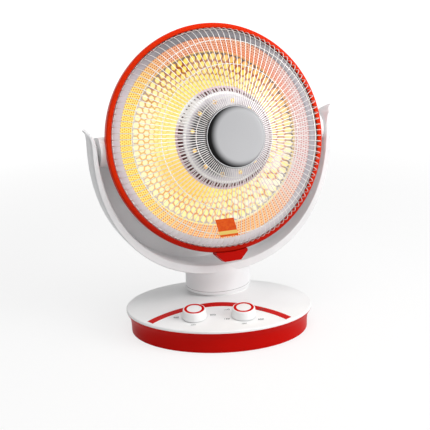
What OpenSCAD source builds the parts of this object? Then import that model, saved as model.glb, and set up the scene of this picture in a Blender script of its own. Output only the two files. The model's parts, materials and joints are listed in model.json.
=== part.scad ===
// Tabletop carbon heater: a tilting dish head in a swivelling yoke on an oval base.
// Millimetres, +Z up, front towards -Y, origin under the middle of the base.

/* [Base] */
// Width of the base across its lip
base_w = 304; // [260:1:340]
// Depth of the base across its lip
base_d = 210; // [190:1:240]
// Height of the red skirt's top edge
skirt_h = 35.5; // [30:0.5:45]
// How far the skirt's foot stands in from the lip
skirt_inset = 7.2; // [3:0.1:12]
// Height of the white cover's upright edge
cover_edge = 4; // [3:0.1:8]
// Rise of the cover from its edge to the collar's foot
cover_rise = 11; // [8:0.5:16]
// Height of the collar above the cover
collar_h = 3.2; // [2:0.1:8]
// Wall of the base mouldings
base_wall = 2.6; // [2:0.1:4]
// Thickness of the bottom plate
plate_t = 2.5; // [2:0.1:5]
// Height of the rubber foot strip below the plate
foot_h = 1; // [0.5:0.1:6]
// Thickness of the steel ballast
ballast_t = 7; // [4:0.5:8]
// Width of the accent stripe
stripe_w = 12; // [5:0.5:16]

/* [Controls] */
// Distance of each knob from the middle
knob_x = 39; // [30:1:60]
// Distance of the knobs in front of the middle
knob_front = 56; // [50:1:64]
// Diameter of a knob at its foot
knob_d = 40.6; // [30:0.2:44]
// Height of a knob
knob_h = 14.3; // [10:0.1:20]
// Diameter of a switch shaft
shaft_d = 6; // [4:0.5:8]

/* [Column] */
// Distance of the swivel axis behind the middle
neck_y = 50; // [40:1:52]
// Width of the neck
neck_w = 111; // [90:1:130]
// Depth of the neck
neck_d = 92; // [80:1:100]
// Outer diameter of the swivel spigot
spigot_d = 44; // [36:1:50]
// Turn of the head to its left in this pose
head_turn = 20.5; // [-35:0.5:35]

/* [Yoke] */
// Height of the tilt axis
pivot_z = 306; // [304:1:330]
// Distance of the tilt axis behind the swivel axis
pivot_y = 5; // [0:0.5:10]
// Width of the yoke at the tilt axis
yoke_w = 408; // [406:1:430]
// Drop from the tilt axis to the yoke's underside
yoke_drop = 218.8; // [217:0.2:224]
// Squareness of the yoke's bend
yoke_power = 2.2; // [2:0.05:2.6]
// Lean of the yoke towards the back
yoke_lean = 4.8; // [0:0.1:8]
// Depth of the yoke's arms
yoke_d = 46; // [38:1:54]
// Width of the web behind the head
web_w = 41; // [30:1:46]
// Height of the horns above the tilt axis
horn_h = 34.5; // [28:0.5:50]
// Flare of the horns
horn_flare = 10; // [4:0.5:16]
// Diameter of the tilt pins
pin_d = 8; // [6:0.5:10]

/* [Head] */
// Outer radius of the rim
rim_r = 183; // [176:0.5:184]
// Radial width of the rim
rim_w = 8; // [6:0.1:10]
// Depth of the rim behind the flange
rim_back = 9; // [6:0.5:12]
// Height of the rim in front of the flange
rim_front = 5; // [3:0.5:8]
// Distance of the flange in front of the tilt axis
rim_ahead = 28; // [24:0.5:34]
// Tilt of the head above the level
head_tilt = 12.5; // [-5:0.5:25]
// Depth of the rear shell behind the rim
shell_depth = 76; // [70:1:84]
// Wall of the rear shell
shell_wall = 2.2; // [1.6:0.1:3]
// Radius of the tilt knuckles
knuckle_r = 25; // [20:0.5:28]

/* [Reflector] */
// Inner radius of the flat flange
flange_r = 161; // [155:0.5:166]
// Radius of the step between the fine and the coarse zone
step_r = 140.5; // [130:0.5:150]
// Depth of the dish below the step
dish_depth = 46; // [36:1:50]
// Thickness of the reflector's sheet
sheet_t = 0.8; // [0.6:0.1:1.2]

/* [Lamp and shield] */
// Radius of the ring-shaped lamp
lamp_r = 57; // [48:0.5:62]
// Diameter of the lamp's quartz tube
tube_d = 11; // [9:0.5:13]
// Radius of the shield cup's rim
cup_r = 81; // [74:0.5:88]
// Distance of the cup's rim in front of the head's rim
cup_rim_z = 28.5; // [24:0.5:34]
// Distance of the cup's face in front of its rim
cup_face = 13.5; // [10:0.5:16]
// Radius of the circle of holes in the cup's face
cup_hole_pcr = 58; // [50:0.5:60]

/* [Guard] */
// Number of radial wires
guard_wires = 112; // [60:4:120]
// Diameter of the guard's wire
wire_d = 1.2; // [1:0.1:2]
// Height of the guard's crown above the rim's middle
guard_rise = 79; // [70:1:90]
// Radius of the guard's crown
crown_r = 340; // [320:5:600]
// Radius of the guard's shoulder
shoulder_r = 42; // [30:1:50]
// Radius of the disc in the guard's middle
disc_r = 48; // [40:0.5:54]

/* [Hidden] */
$fn = 64;

white = "whitesmoke";
red = "firebrick";
orange_red = "orangered";
steel = "silver";

// Clearances: a loose gap between parts that pass, and a running fit
gap = 0.3;
run = 0.05;

// Number of points round an oval
oval_n = 72;

// Levels of the base
plate_z0 = foot_h;
plate_z1 = plate_z0 + plate_t;
edge_z = skirt_h + cover_edge;
collar_z0 = edge_z + cover_rise;
collar_z1 = collar_z0 + collar_h;
seam = 0.8;
neck_z0 = collar_z1 + seam;
collar_w = neck_w - 6;
collar_d = neck_d - 4;

// Helpers

function mix(a, b, k) = a * (1 - k) + b * k;

function oval(a, b, z, y = 0) =
  [for (i = [0:oval_n - 1]) let (t = 360 * i / oval_n) [a * cos(t), y + b * sin(t), z]];

// Closed solid through a stack of rings, each with as many points as the first
module loft(rings) {
  n = len(rings[0]);
  m = len(rings);
  points = [for (r = rings, p = r) p];
  sides = [for (j = [0:m - 2], i = [0:n - 1])
    let (a = j * n + i, b = j * n + (i + 1) % n) each [[a, a + n, b + n], [a, b + n, b]]];
  polyhedron(points, concat([[for (i = [0:n - 1]) i]], sides, [[for (i = [n - 1:-1:0]) (m - 1) * n + i]]));
}

module oval_prism(a, b, h) {
  linear_extrude(h) polygon([for (p = oval(a, b, 0)) [p[0], p[1]]]);
}

module tube(r_out, r_in, h) {
  difference() {
    cylinder(r = r_out, h = h);
    translate([0, 0, -1]) cylinder(r = r_in, h = h + 2);
  }
}

// Frames of the moving parts

module on_column() {
  translate([0, neck_y, 0]) rotate([0, 0, head_turn]) children();
}

module in_yoke() {
  on_column() translate([0, pivot_y, pivot_z]) rotate([-yoke_lean, 0, 0]) children();
}

// Local +Z points out of the head's face, local +Y up along it, and z = 0 is the tilt axis
module in_head() {
  on_column() translate([0, pivot_y, pivot_z]) rotate([90 - head_tilt, 0, 0]) children();
}

// Base cover: its surface runs from the oval edge to the oval collar

function cover_height(s) = edge_z + cover_rise * (0.68 * s + 0.32 * pow(s, 5));
function cover_slope(s) = cover_rise * (0.68 + 1.6 * pow(s, 4)) / cover_run;
cover_run = base_d / 2 + neck_y - collar_d / 2;
knob_s = (base_d / 2 - knob_front) / cover_run;
panel_z = cover_height(knob_s);
panel_tilt = atan(cover_slope(knob_s));

module cover_body(inset, drop) {
  a0 = base_w / 2 - inset;
  b0 = base_d / 2 - inset;
  a1 = collar_w / 2 - inset;
  b1 = collar_d / 2 - inset;
  steps = 9;
  loft(concat(
    [oval(a0, b0, skirt_h - (drop > 0 ? 1 : 0)), oval(a0, b0, edge_z - 1.2 - drop)],
    [for (k = [0:steps]) let (s = k / steps)
      oval(mix(a0 - 1.2, a1, s), mix(b0 - 1.2, b1, s), cover_height(s) - drop, mix(0, neck_y, s))],
    [oval(a1, b1, collar_z1 - drop, neck_y)]));
}

module on_panel(x) {
  translate([x, -knob_front, panel_z]) rotate([panel_tilt, 0, 0]) children();
}

// Place that lies in from the lip by an inset, at an angle round the oval
function spot(inset, angle) = [(base_w / 2 - inset) * cos(angle), (base_d / 2 - inset) * sin(angle)];
side_inset = 27.4;
side_angle = 26;
front_inset = 22;
front_angle = 57.4;
boss_places = concat([for (a = [side_angle, 180 - side_angle, 180 + side_angle, -side_angle]) spot(side_inset, a)],
  [for (a = [180 + front_angle, -front_angle]) spot(front_inset, a)]);
boss_d = 9;
screw_d = 3.4;
screw_head = 0.7 * foot_h;
// Rubber strip let into the plate, all round beside the skirt's wall
foot_w = 6;
foot_margin = 2;
foot_groove = 1;

bush_r = spigot_d / 2 + 4;
bush_h = 9;
pad_d = 31;

// Oval of the skirt, drawn in from the lip, with the lip's proportions
function skirt_oval(inset, wall, z) =
  let (k = (base_w / 2 - inset) / (base_w / 2)) oval(base_w / 2 * k - wall, base_d / 2 * k - wall, z);
ledge_w = 5;

module base_skirt() {
  // Share of the inset at each share of the height: straight below, flared into the lip above
  flare = [[0, 1], [0.35, 0.97], [0.62, 0.84], [0.8, 0.5], [0.93, 0.12], [1, 0]];
  h = skirt_h - plate_z0;
  color(red) difference() {
    union() {
      difference() {
        loft([for (f = flare) skirt_oval(skirt_inset * f[1], 0, plate_z0 + h * f[0])]);
        loft([for (f = flare) skirt_oval(skirt_inset * f[1], base_wall, plate_z0 + (h + 2) * f[0] - 1)]);
      }
      difference() {
        loft([for (z = [plate_z1, plate_z1 + 2.4]) skirt_oval(skirt_inset, 0.5, z)]);
        loft([for (z = [plate_z1 - 1, plate_z1 + 4]) skirt_oval(skirt_inset, base_wall + ledge_w, z)]);
      }
    }
    on_gland() cylinder(d = gland_d + 0.1, h = 40, center = true);
  }
}

// Space under the cover's middle surface, down to the plate
module cover_bulk() {
  half = base_wall / 2;
  union() {
    cover_body(half, half);
    translate([0, 0, plate_z1]) oval_prism(base_w / 2 - half - 2, base_d / 2 - half - 2, edge_z - 3 - plate_z1);
  }
}

module base_cover() {
  color(white) difference() {
    union() {
      difference() {
        cover_body(0, 0);
        cover_body(base_wall, base_wall);
      }
      intersection() {
        for (p = boss_places) translate([p[0], p[1], plate_z1]) cylinder(d = boss_d, h = collar_z0 - plate_z1);
        cover_bulk();
      }
      translate([0, neck_y, collar_z1 - bush_h]) cylinder(r = bush_r + 4, h = bush_h - 1);
      for (x = [-knob_x, knob_x]) on_panel(x) translate([0, 0, -switch_top]) cylinder(d = pad_d, h = switch_top);
    }
    for (p = boss_places) translate([p[0], p[1], plate_z1 - 1]) cylinder(d = screw_d - 0.6, h = 16);
    translate([0, neck_y, collar_z1 - 20]) cylinder(r = bush_r, h = 30);
    for (x = [-knob_x, knob_x]) on_panel(x) {
      cylinder(d = bushing_d + 0.2, h = 20, center = true);
      translate([-switch_w / 2 - gap, -switch_w / 2 - gap, -switch_top - switch_h])
        cube([switch_w + 2 * gap, switch_w + 2 * gap, switch_h]);
    }
  }
}

// Band of the foot strip's outline, made wider on both sides by a clearance
module foot_band(h, spare) {
  linear_extrude(h) difference() {
    polygon([for (q = skirt_oval(skirt_inset, base_wall + foot_margin - spare, 0)) [q[0], q[1]]]);
    polygon([for (q = skirt_oval(skirt_inset, base_wall + foot_margin + foot_w + spare, 0)) [q[0], q[1]]]);
  }
}

module base_plate() {
  color("dimgray") difference() {
    loft([for (z = [plate_z0, plate_z1]) skirt_oval(skirt_inset, base_wall + gap, z)]);
    for (p = boss_places) translate([p[0], p[1], 0]) cylinder(d = screw_d, h = 20);
    translate([0, 0, plate_z0 - 1]) foot_band(foot_groove + 1, 0.05);
  }
}

ballast_w = 150;
ballast_d = 96;
ballast_y = -8;

module ballast_plate() {
  color("gray") translate([-ballast_w / 2, ballast_y - ballast_d / 2, plate_z1])
    cube([ballast_w, ballast_d, ballast_t]);
}

module foot_strip() { color("black") foot_band(plate_z0 + foot_groove, 0); }

module base_screws() {
  color(steel) for (p = boss_places) translate([p[0], p[1], 0]) {
    translate([0, 0, plate_z0 - screw_head]) cylinder(d = 6.5, h = screw_head);
    translate([0, 0, plate_z0 - screw_head]) cylinder(d = screw_d - 0.7, h = plate_t + 12);
  }
}

// Radius and centre of the stripe, from its two ends and its crown
stripe_end = [base_w / 2 - 43, 39 - base_d / 2];
stripe_top = 86 - base_d / 2;
stripe_r = (pow(stripe_end[0], 2) + pow(stripe_top - stripe_end[1], 2)) / (2 * (stripe_top - stripe_end[1]));

module accent_stripe() {
  half = asin(stripe_end[0] / stripe_r);
  proud = 0.4;
  color(red) difference() {
    intersection() {
      translate([0, 0, proud]) cover_body(0, 0);
      translate([0, stripe_top - stripe_r, edge_z - 4]) rotate([0, 0, 90 - half])
        rotate_extrude(angle = 2 * half) translate([stripe_r - stripe_w / 2, 0]) square([stripe_w, 20]);
    }
    cover_body(0, 0);
  }
}

gland_d = 13;
gland_bore = 7;
gland_x = -70;
gland_z = 17;

module on_gland() {
  k = 1 - skirt_inset / (base_w / 2);
  translate([gland_x, base_d / 2 * k * sqrt(1 - pow(gland_x / (base_w / 2 * k), 2)), gland_z])
    rotate([-90, 0, 0]) children();
}

module cord_gland() {
  color("black") on_gland() difference() {
    union() {
      translate([0, 0, -12]) cylinder(d = gland_d, h = 18);
      translate([0, 0, 4.2]) cylinder(d = gland_d + 5, h = 2.4);
    }
    translate([0, 0, -20]) cylinder(d = gland_bore, h = 40);
  }
}

module terminal_block() {
  color("ivory") translate([56 - base_w / 2, 10, plate_z1]) difference() {
    cube([16, 44, 14]);
    for (i = [0:3]) translate([8, 7 + 10 * i, 6]) cylinder(d = 4, h = 10);
  }
}

module tilt_switch() {
  color("black") translate([base_w / 2 - 64, 4, plate_z1]) {
    cube([20, 26, 12]);
    translate([10, 13, 12]) cylinder(d = 15, h = 9);
  }
}

// Controls: a rotary switch hangs by its bushing from the cover

bushing_d = 9;
switch_w = 27;
switch_h = 13;
// Depth of the switch's face below the panel
switch_top = base_wall + 0.6;
// Height of the bushing above the panel
bushing_up = 2.8;

module rotary_switch() {
  difference() {
    union() {
      translate([-switch_w / 2, -switch_w / 2, -switch_top - switch_h]) cube([switch_w, switch_w, switch_h]);
      translate([0, 0, -switch_top]) cylinder(d = bushing_d, h = switch_top + bushing_up);
    }
    translate([0, 0, -switch_top - switch_h + 3]) cylinder(d = shaft_d + 2 * run, h = 40);
  }
}

module switch_shaft() {
  translate([0, 0, -switch_top - switch_h + 3 + gap]) cylinder(d = shaft_d, h = switch_top + switch_h + knob_h - 7);
}

module mode_switch() { color("dimgray") on_panel(-knob_x) rotary_switch(); }

module heat_switch() { color("dimgray") on_panel(knob_x) rotary_switch(); }

module switch_nuts() {
  color(steel) for (x = [-knob_x, knob_x]) on_panel(x) difference() {
    cylinder(d = 14, h = 2.4, $fn = 6);
    translate([0, 0, -1]) cylinder(d = bushing_d + 0.1, h = 5);
  }
}

module mode_shaft() { color(steel) on_panel(-knob_x) switch_shaft(); }

module heat_shaft() { color(steel) on_panel(knob_x) switch_shaft(); }

knob_gap = 0.8;
inlay_r = 15.4;
inlay_w = 2.9;

module knob() {
  r = knob_d / 2;
  roof = 5;
  hub_low = bushing_up + 0.4;
  difference() {
    union() {
      difference() {
        rotate_extrude() polygon([[0, knob_gap], [r, knob_gap], [r - 0.2, knob_gap + 1], [r - 2.8, knob_h - 2.4],
          [r - 3.3, knob_h - 0.9], [r - 4.1, knob_h - 0.1], [inlay_r, knob_h], [inlay_r, knob_h - 1],
          [inlay_r - inlay_w, knob_h - 1], [inlay_r - inlay_w, knob_h], [0, knob_h + 0.3]]);
        translate([0, 0, -1]) cylinder(r1 = r - 2.4, r2 = r - 4.4, h = knob_h - roof + 1);
      }
      translate([0, 0, hub_low]) cylinder(d = shaft_d + 5, h = knob_h - roof - hub_low + 1);
    }
    cylinder(d = shaft_d, h = knob_h - 3);
  }
}

module knob_inlay() {
  translate([0, 0, knob_h - 1]) tube(inlay_r, inlay_r - inlay_w, 1.1);
}

module mode_knob() { color(white) on_panel(-knob_x) knob(); }

module heat_knob() { color(white) on_panel(knob_x) knob(); }

module mode_knob_ring() { color(red) on_panel(-knob_x) knob_inlay(); }

module heat_knob_ring() { color(red) on_panel(knob_x) knob_inlay(); }

// Swivel: a flanged bush in the collar carries the neck's spigot

module swivel_bush() {
  color("lightgray") translate([0, neck_y, 0]) difference() {
    union() {
      translate([0, 0, collar_z1 - bush_h]) cylinder(r = bush_r - run, h = bush_h + 0.5);
      translate([0, 0, collar_z1]) cylinder(r = bush_r + 7, h = seam - 0.1);
    }
    translate([0, 0, collar_z1 - 20]) cylinder(d = spigot_d + 2 * run, h = 40);
  }
}

spigot_bore = spigot_d - 10;
plate_r = 36;
swivel_plate_t = 3;
washer_gap = 0.3;
column_washer_t = 1.9;
clip_t = 1.5;
groove_top = collar_z1 - bush_h - washer_gap - column_washer_t;
groove_h = clip_t + 0.2;
spigot_low = groove_top - groove_h - 4;
spigot_screw_r = 29;

module on_spigot_screws() {
  for (k = [0:3]) rotate([0, 0, 45 + 90 * k]) translate([spigot_screw_r, 0, neck_z0]) children();
}

module swivel_spigot() {
  color("lightgray") on_column() difference() {
    union() {
      translate([0, 0, spigot_low]) cylinder(d = spigot_d, h = neck_z0 + 1 - spigot_low);
      translate([0, 0, neck_z0]) cylinder(r = plate_r, h = swivel_plate_t);
    }
    translate([0, 0, spigot_low - 1]) cylinder(d = spigot_bore, h = 60);
    translate([0, 0, groove_top - groove_h]) tube(spigot_d, spigot_d / 2 - 1.2, groove_h);
    on_spigot_screws() {
      translate([0, 0, -1]) cylinder(d = screw_d, h = 20);
      translate([0, 0, -1]) cylinder(d = 6.7, h = 2.6);
    }
  }
}

module spigot_screws() {
  color(steel) on_column() on_spigot_screws() {
    translate([0, 0, 0.2]) cylinder(d = 6.5, h = 1.4);
    translate([0, 0, 0.2]) cylinder(d = screw_d - 0.6, h = 9);
  }
}

module retaining_washer() {
  color(steel) on_column() translate([0, 0, groove_top])
    tube(bush_r + 6, spigot_d / 2 + run, column_washer_t);
}

module circlip() {
  color("dimgray") on_column() translate([0, 0, groove_top - clip_t]) difference() {
    tube(spigot_d / 2 + 3, spigot_d / 2 - 1.1, clip_t);
    translate([0, -3, -1]) cube([40, 6, 4]);
  }
}

// Yoke: one moulding of neck, bowl-shaped arms and horns.
// Its path runs from the left horn round the bend to the right horn, in the leaning plane.

arm_t = 10;
bend_t = 15;
// Extra depth of the bend where it meets the neck, and how far the horn's point stands forward
bend_extra = 14;
horn_ahead = 9;

// Outer path point at k, -1 at the left horn's tip, 0 at the bottom, 1 at the right horn's tip
horn_share = 0.14;
function yoke_path(k) =
  let (side = sign(k), u = abs(k), bend = 1 - horn_share)
  u < bend
    ? let (t = 90 * (1 - u / bend))
      [side * yoke_w / 2 * pow(cos(t), 2 / yoke_power), -yoke_drop * pow(sin(t), 2 / yoke_power)]
    : let (v = (u - bend) / horn_share)
      [side * (yoke_w / 2 + horn_flare * pow(v, 4)), horn_h * v];

function yoke_normal(k) =
  let (e = 0.004, a = yoke_path(k - e), b = yoke_path(k + e), d = b - a) [-d[1], d[0]] / norm(d);

// Section at k: x runs inward from the outer path, y from front to back
function yoke_section(k) =
  let (
    u = abs(k),
    tip = max(0, (u - 1 + horn_share) / horn_share),
    low = max(0, 1 - u / (1 - horn_share)),
    t = mix(mix(arm_t - 2, 3.2, pow(tip, 2)), bend_t, pow(low, 0.7)),
    // The web starts just below the tilt axis and soon has its full width
    w = min(1, max(0, (low - 0.014) / 0.03)),
    web = mix(t + 2.4 * (1 - tip) + 0.6, web_w, w * w * (3 - 2 * w)),
    d = yoke_d + bend_extra * low * low,
    // Both edges stay apart up the horn, then close on its point
    front = mix(-d / 2, -horn_ahead - 2, max(0, tip - 0.72) / 0.28),
    back = mix(d / 2, -horn_ahead + 2, pow(tip, 3))
  ) [[1.3, front], [0, front + 1.6], [0.2, mix(front, back, 0.35)], [0.5, mix(front, back, 0.7)],
    [1, back - 1.2], [2.4, back], [web, back], [web, back - 3], [t + 1.4, back - 3 - 1.4 * (1 - tip)],
    [t + 0.4, mix(front, back, 0.6)], [t, front + 1.6], [t - 1.3, front]];

// Stations from the bottom of the bend to the horn's point, closer together where the form changes
half_stations = concat([for (i = [1:18]) 0.9 * (1 - horn_share) * i / 18],
  [for (low = [0.07, 0.05, 0.04, 0.03, 0.02, 0.01, 0]) (1 - low) * (1 - horn_share)],
  [for (v = [0.2, 0.4, 0.55, 0.66, 0.72, 0.8, 0.88, 0.95, 1]) 1 - horn_share * (1 - v)]);
stations = concat([for (i = [len(half_stations) - 1:-1:0]) -half_stations[i]], [0], half_stations);

module yoke_shell() {
  rings = [for (k = stations)
    let (p = yoke_path(k), n = yoke_normal(k))
    [for (q = yoke_section(k)) [p[0] + n[0] * q[0], q[1], p[1] + n[1] * q[0]]]];
  loft(rings);
}

// Neck: an oval column that rounds over into the underside of the bend
neck_floor = 8;
neck_lip = 0.8;
bend_y = pivot_y - yoke_drop * sin(yoke_lean);
bend_z = pivot_z - yoke_drop * cos(yoke_lean);

module neck_body(inset) {
  a = neck_w / 2 - inset;
  b = neck_d / 2 - inset;
  top = bend_z + bend_t - inset;
  z0 = neck_z0 + (inset > 0 ? neck_floor : 0);
  // Share of the width, share of the depth and drop below the top
  rounding = [[1, 1, 26], [0.995, 0.985, 17], [0.97, 0.92, 10], [0.93, 0.8, 5], [0.86, 0.64, 1.6], [0.74, 0.46, 0]];
  lip = inset > 0 ? 0 : neck_lip;
  foot = [oval(a + lip, b + lip, z0), oval(a + lip, b + lip, z0 + 2), oval(a, b, z0 + 3.4)];
  loft(concat(foot, [for (r = rounding) oval(a * r[0], b * r[1], top - r[2], bend_y * (1 - r[1]) * 1.9)]));
}

// Tilt pivot, from the arm inwards: blind bush, friction washer, lug of the head
arm_in = yoke_w / 2 - arm_t;
flange_t = 1.4;
washer_t = 1.5;
lug_x = arm_in - flange_t - washer_t - 0.2;
pin_reach = 6.2;

module yoke() {
  color(white) difference() {
    union() {
      difference() {
        union() {
          in_yoke() yoke_shell();
          on_column() neck_body(0);
        }
        on_column() neck_body(3);
      }
      in_yoke() for (s = [-1, 1]) translate([s * arm_in, 0, 0]) rotate([0, s * 90, 0]) cylinder(r = 12, h = 4);
    }
    on_column() {
      translate([0, 0, neck_z0 - 1]) cylinder(r = plate_r + run, h = swivel_plate_t + 1);
      translate([0, 0, neck_z0]) cylinder(d = spigot_bore, h = 20);
      on_spigot_screws() cylinder(d = screw_d - 0.6, h = 9.5);
    }
    in_yoke() for (s = [-1, 1]) translate([s * (arm_in - 1), 0, 0]) rotate([0, s * 90, 0])
      cylinder(r = pin_d / 2 + 3.05, h = pin_reach + 1.4);
  }
}

module pivot_bushes() {
  color("lightgray") in_yoke() for (s = [-1, 1]) translate([s * arm_in, 0, 0]) rotate([0, s * 90, 0]) difference() {
    union() {
      cylinder(r = pin_d / 2 + 3, h = pin_reach + 0.3);
      translate([0, 0, -flange_t]) cylinder(r = 11, h = flange_t);
    }
    translate([0, 0, -5]) cylinder(d = pin_d + 2 * run, h = 20);
  }
}

// Head

module pivot_pins() {
  color(steel) in_head() for (s = [-1, 1]) translate([s * (lug_x - 20), 0, 0]) rotate([0, s * 90, 0]) {
    cylinder(d = pin_d, h = 20 + arm_in - lug_x + pin_reach);
  }
}

module friction_washers() {
  color("black") in_head() for (s = [-1, 1]) translate([s * lug_x, 0, 0]) rotate([0, s * 90, 0])
    tube(11, pin_d / 2 + run, washer_t);
}

// Rear shell: a bowl behind the rim
shell_z = rim_ahead;
shell_r = rim_r - 5;
shell_back = shell_z - shell_depth;
rim_z0 = rim_ahead - rim_back;
rim_z1 = rim_ahead + rim_front;

module shell_solid(wall) {
  n = 22;
  r = shell_r - wall;
  rotate_extrude($fn = 96) polygon(concat([[0, shell_z + (wall > 0 ? 1 : 0)], [r, shell_z + (wall > 0 ? 1 : 0)]],
    [for (k = [0:n]) let (t = 90 * k / n) [r * cos(t), shell_z - (shell_depth - wall) * sin(t)]]));
}

knuckle_flat = 21;
knuckle_back = 17;

module knuckle() {
  x0 = shell_r - 16;
  difference() {
    translate([x0, 0, 0]) rotate([0, 90, 0]) cylinder(r = knuckle_r, h = lug_x - x0);
    translate([x0 - 1, knuckle_flat, -40]) cube([60, 40, 80]);
    translate([x0 - 1, -40, -knuckle_back - 40]) cube([60, 80, 40]);
    translate([0, 0, rim_ahead - rim_back - gap]) cylinder(r = rim_r + gap, h = 40, $fn = 128);
  }
}

cutout_x = 40;
cutout_seat = 6;

module rear_shell() {
  color(white) in_head() difference() {
    union() {
      difference() {
        union() {
          shell_solid(0);
          for (s = [0, 1]) mirror([s, 0, 0]) knuckle();
        }
        shell_solid(shell_wall);
      }
      translate([0, 0, shell_back + shell_wall / 2]) cylinder(r = 16, h = shell_wall / 2 + 3);
      translate([cutout_x, 0, shell_back + shell_wall / 2]) cylinder(d = 18, h = cutout_seat + shell_wall / 2);
      for (s = [-1, 1]) translate([s * (shell_r - 14), 0, 0]) rotate([0, s * 90, 0]) cylinder(r = pin_d / 2 + 4, h = 13);
    }
    for (s = [-1, 1]) translate([s * (lug_x - 40), 0, 0]) rotate([0, s * 90, 0]) cylinder(d = pin_d, h = 50);
    for (ring = [[62, 12], [82, 16], [102, 20]], k = [0:ring[1] - 1]) rotate([0, 0, 360 * k / ring[1]])
      translate([ring[0], 0, shell_back - 5]) cylinder(d = 7, h = 50);
    translate([0, 0, shell_back - 5]) cylinder(d = 8.2, h = 30);
  }
}

flange_z = rim_ahead + sheet_t;

module rim_ring() {
  r0 = rim_r - rim_w;
  color(orange_red) in_head() rotate_extrude($fn = 128) polygon([[shell_r + 0.1, rim_z0], [rim_r - 0.8, rim_z0],
    [rim_r, rim_z0 + 1.2], [rim_r, rim_z1 - 2.6], [rim_r - 0.9, rim_z1 - 1], [rim_r - 2.6, rim_z1],
    [r0 + 2, rim_z1], [r0 + 0.7, rim_z1 - 0.7], [r0, rim_z1 - 2], [r0, flange_z + 0.1],
    [shell_r + 0.1, flange_z + 0.1]]);
}

clip_wide = 27;
clip_low = 14;
clip_drop = 18;

module rim_clip() {
  r0 = rim_r - 3;
  z0 = rim_z0 - 1;
  color(red) in_head() difference() {
    translate([0, 0, z0]) linear_extrude(rim_z1 + 2.5 - z0) polygon([[1 - clip_wide, -r0 + 3], [clip_wide - 1, -r0 + 3],
      [clip_wide, -r0 - 5], [clip_low, 3 - r0 - clip_drop - 3], [-clip_low, 3 - r0 - clip_drop - 3], [-clip_wide, -r0 - 5]]);
    translate([0, 0, z0 - 1]) cylinder(r = rim_r + 0.05, h = 40, $fn = 128);
    translate([0, -rim_r - 7, z0 - 1]) cylinder(d = 3, h = 9);
  }
}

module clip_screw() {
  color(steel) in_head() translate([0, -rim_r - 7, rim_z0 - 1]) {
    translate([0, 0, -1.8]) cylinder(d = 6, h = 1.8);
    cylinder(d = 2.9, h = 7);
  }
}

// Reflector: flat flange, fine zone, step and dish, as one pressed sheet
dish_z = rim_ahead - 9;
function dish_at(r) = dish_z - 3 - dish_depth * (1 - pow(r / step_r, 2));
post_r = 20;

module reflector() {
  n = 14;
  z0 = flange_z;
  outline = concat([[shell_r, z0], [flange_r, z0], [flange_r - 1.5, z0 - 1.5], [step_r, dish_z], [step_r - 0.6, dish_at(step_r)]],
    [for (k = [0:n]) let (r = mix(step_r - 2, post_r + 2, k / n)) [r, dish_at(r)]]);
  m = len(outline);
  color("gold") in_head() rotate_extrude($fn = 96)
    polygon(concat(outline, [for (k = [m - 1:-1:0]) [outline[k][0], outline[k][1] - sheet_t]]));
}

// Shield cup with its ring of slots and its ring of holes
cup_z = rim_ahead + cup_rim_z;
cup_t = 1;

module cup_profile(t) {
  polygon([[0, cup_z + cup_face - t], [cup_r - 17 - t, cup_z + cup_face - t], [cup_r - 11 - t, cup_z + cup_face - 2 - t],
    [cup_r - 8 - t, cup_z + cup_face - 5 - t], [cup_r - 2.4 - t, cup_z + 1 - t * 0.4], [cup_r - 2.4 - t, cup_z - 9 - t],
    [0, cup_z - 9 - t]]);
}

module shield_cup() {
  slots = 72;
  color("rosybrown") in_head() difference() {
    union() {
      rotate_extrude($fn = 96) cup_profile(0);
      translate([0, 0, cup_z - 1]) cylinder(r = cup_r, h = 1.4);
    }
    rotate_extrude($fn = 96) cup_profile(cup_t);
    translate([0, 0, cup_z - 9 - cup_t - 1]) cylinder(r = cup_r - 3.6, h = 3);
    for (k = [0:11]) rotate([0, 0, 15 + 30 * k]) translate([cup_hole_pcr, 0, cup_z]) cylinder(d = 5, h = 30);
    for (k = [0:slots - 1]) rotate([0, 0, 360 * k / slots]) translate([cup_r - 5.6, -1.1, cup_z + 1.8])
      cube([10, 2.2, 5]);
    translate([0, 0, cup_z]) cylinder(d = 6.2, h = 40);
  }
}

module cup_post() {
  z0 = shell_back + shell_wall + 3;
  z1 = cup_z + cup_face - cup_t;
  color(steel) in_head() {
    difference() {
      union() {
        translate([0, 0, z0]) cylinder(r = 10, h = z1 - 3 - z0);
        translate([0, 0, dish_at(post_r + 2) - sheet_t - 2]) cylinder(r = post_r + 8, h = 2);
        translate([0, 0, z1 - 5]) cylinder(r = 18, h = 5);
        translate([0, 0, z1 - 1]) cylinder(d = 6, h = cup_t + 3);
      }
      translate([0, 0, z0 - 1]) cylinder(r = 7.5, h = z1 - z0 - 8);
    }
  }
}

module cup_nut() {
  color(steel) in_head() translate([0, 0, cup_z + cup_face + 0.05]) difference() {
    cylinder(d = 11, h = 3.6, $fn = 6);
    translate([0, 0, -1]) cylinder(d = 6.1, h = 3.5);
  }
}

// Lamp: a ring of quartz tube with its ends in two ceramic holders at the bottom
lamp_z = cup_z - 18;
lamp_gap = 26;
holder_len = 15;

module lamp_arc(angle) {
  translate([0, 0, lamp_z]) rotate([0, 0, -90 + (360 - angle) / 2]) rotate_extrude(angle = angle, $fn = 96)
    translate([lamp_r, 0]) children();
}

module carbon_lamp() {
  color("lightyellow") in_head() lamp_arc(360 - lamp_gap) difference() {
    circle(d = tube_d, $fn = 32);
    circle(d = tube_d - 2, $fn = 32);
  }
}

module lamp_filament() {
  color("orange") in_head() lamp_arc(360 - lamp_gap) circle(d = 3.4, $fn = 24);
}

module lamp_holders() {
  color("ivory") in_head() for (s = [0, 1]) mirror([s, 0, 0]) translate([0, 0, lamp_z]) rotate([0, 0, -90 + lamp_gap / 2])
    translate([lamp_r, 0, 0]) {
      rotate([90, 0, 0]) cylinder(d = tube_d + 4, h = holder_len / 2);
      translate([-5, -holder_len / 2, 0]) cube([10, holder_len / 2, cup_z + cup_face - cup_t - lamp_z]);
    }
}

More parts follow.
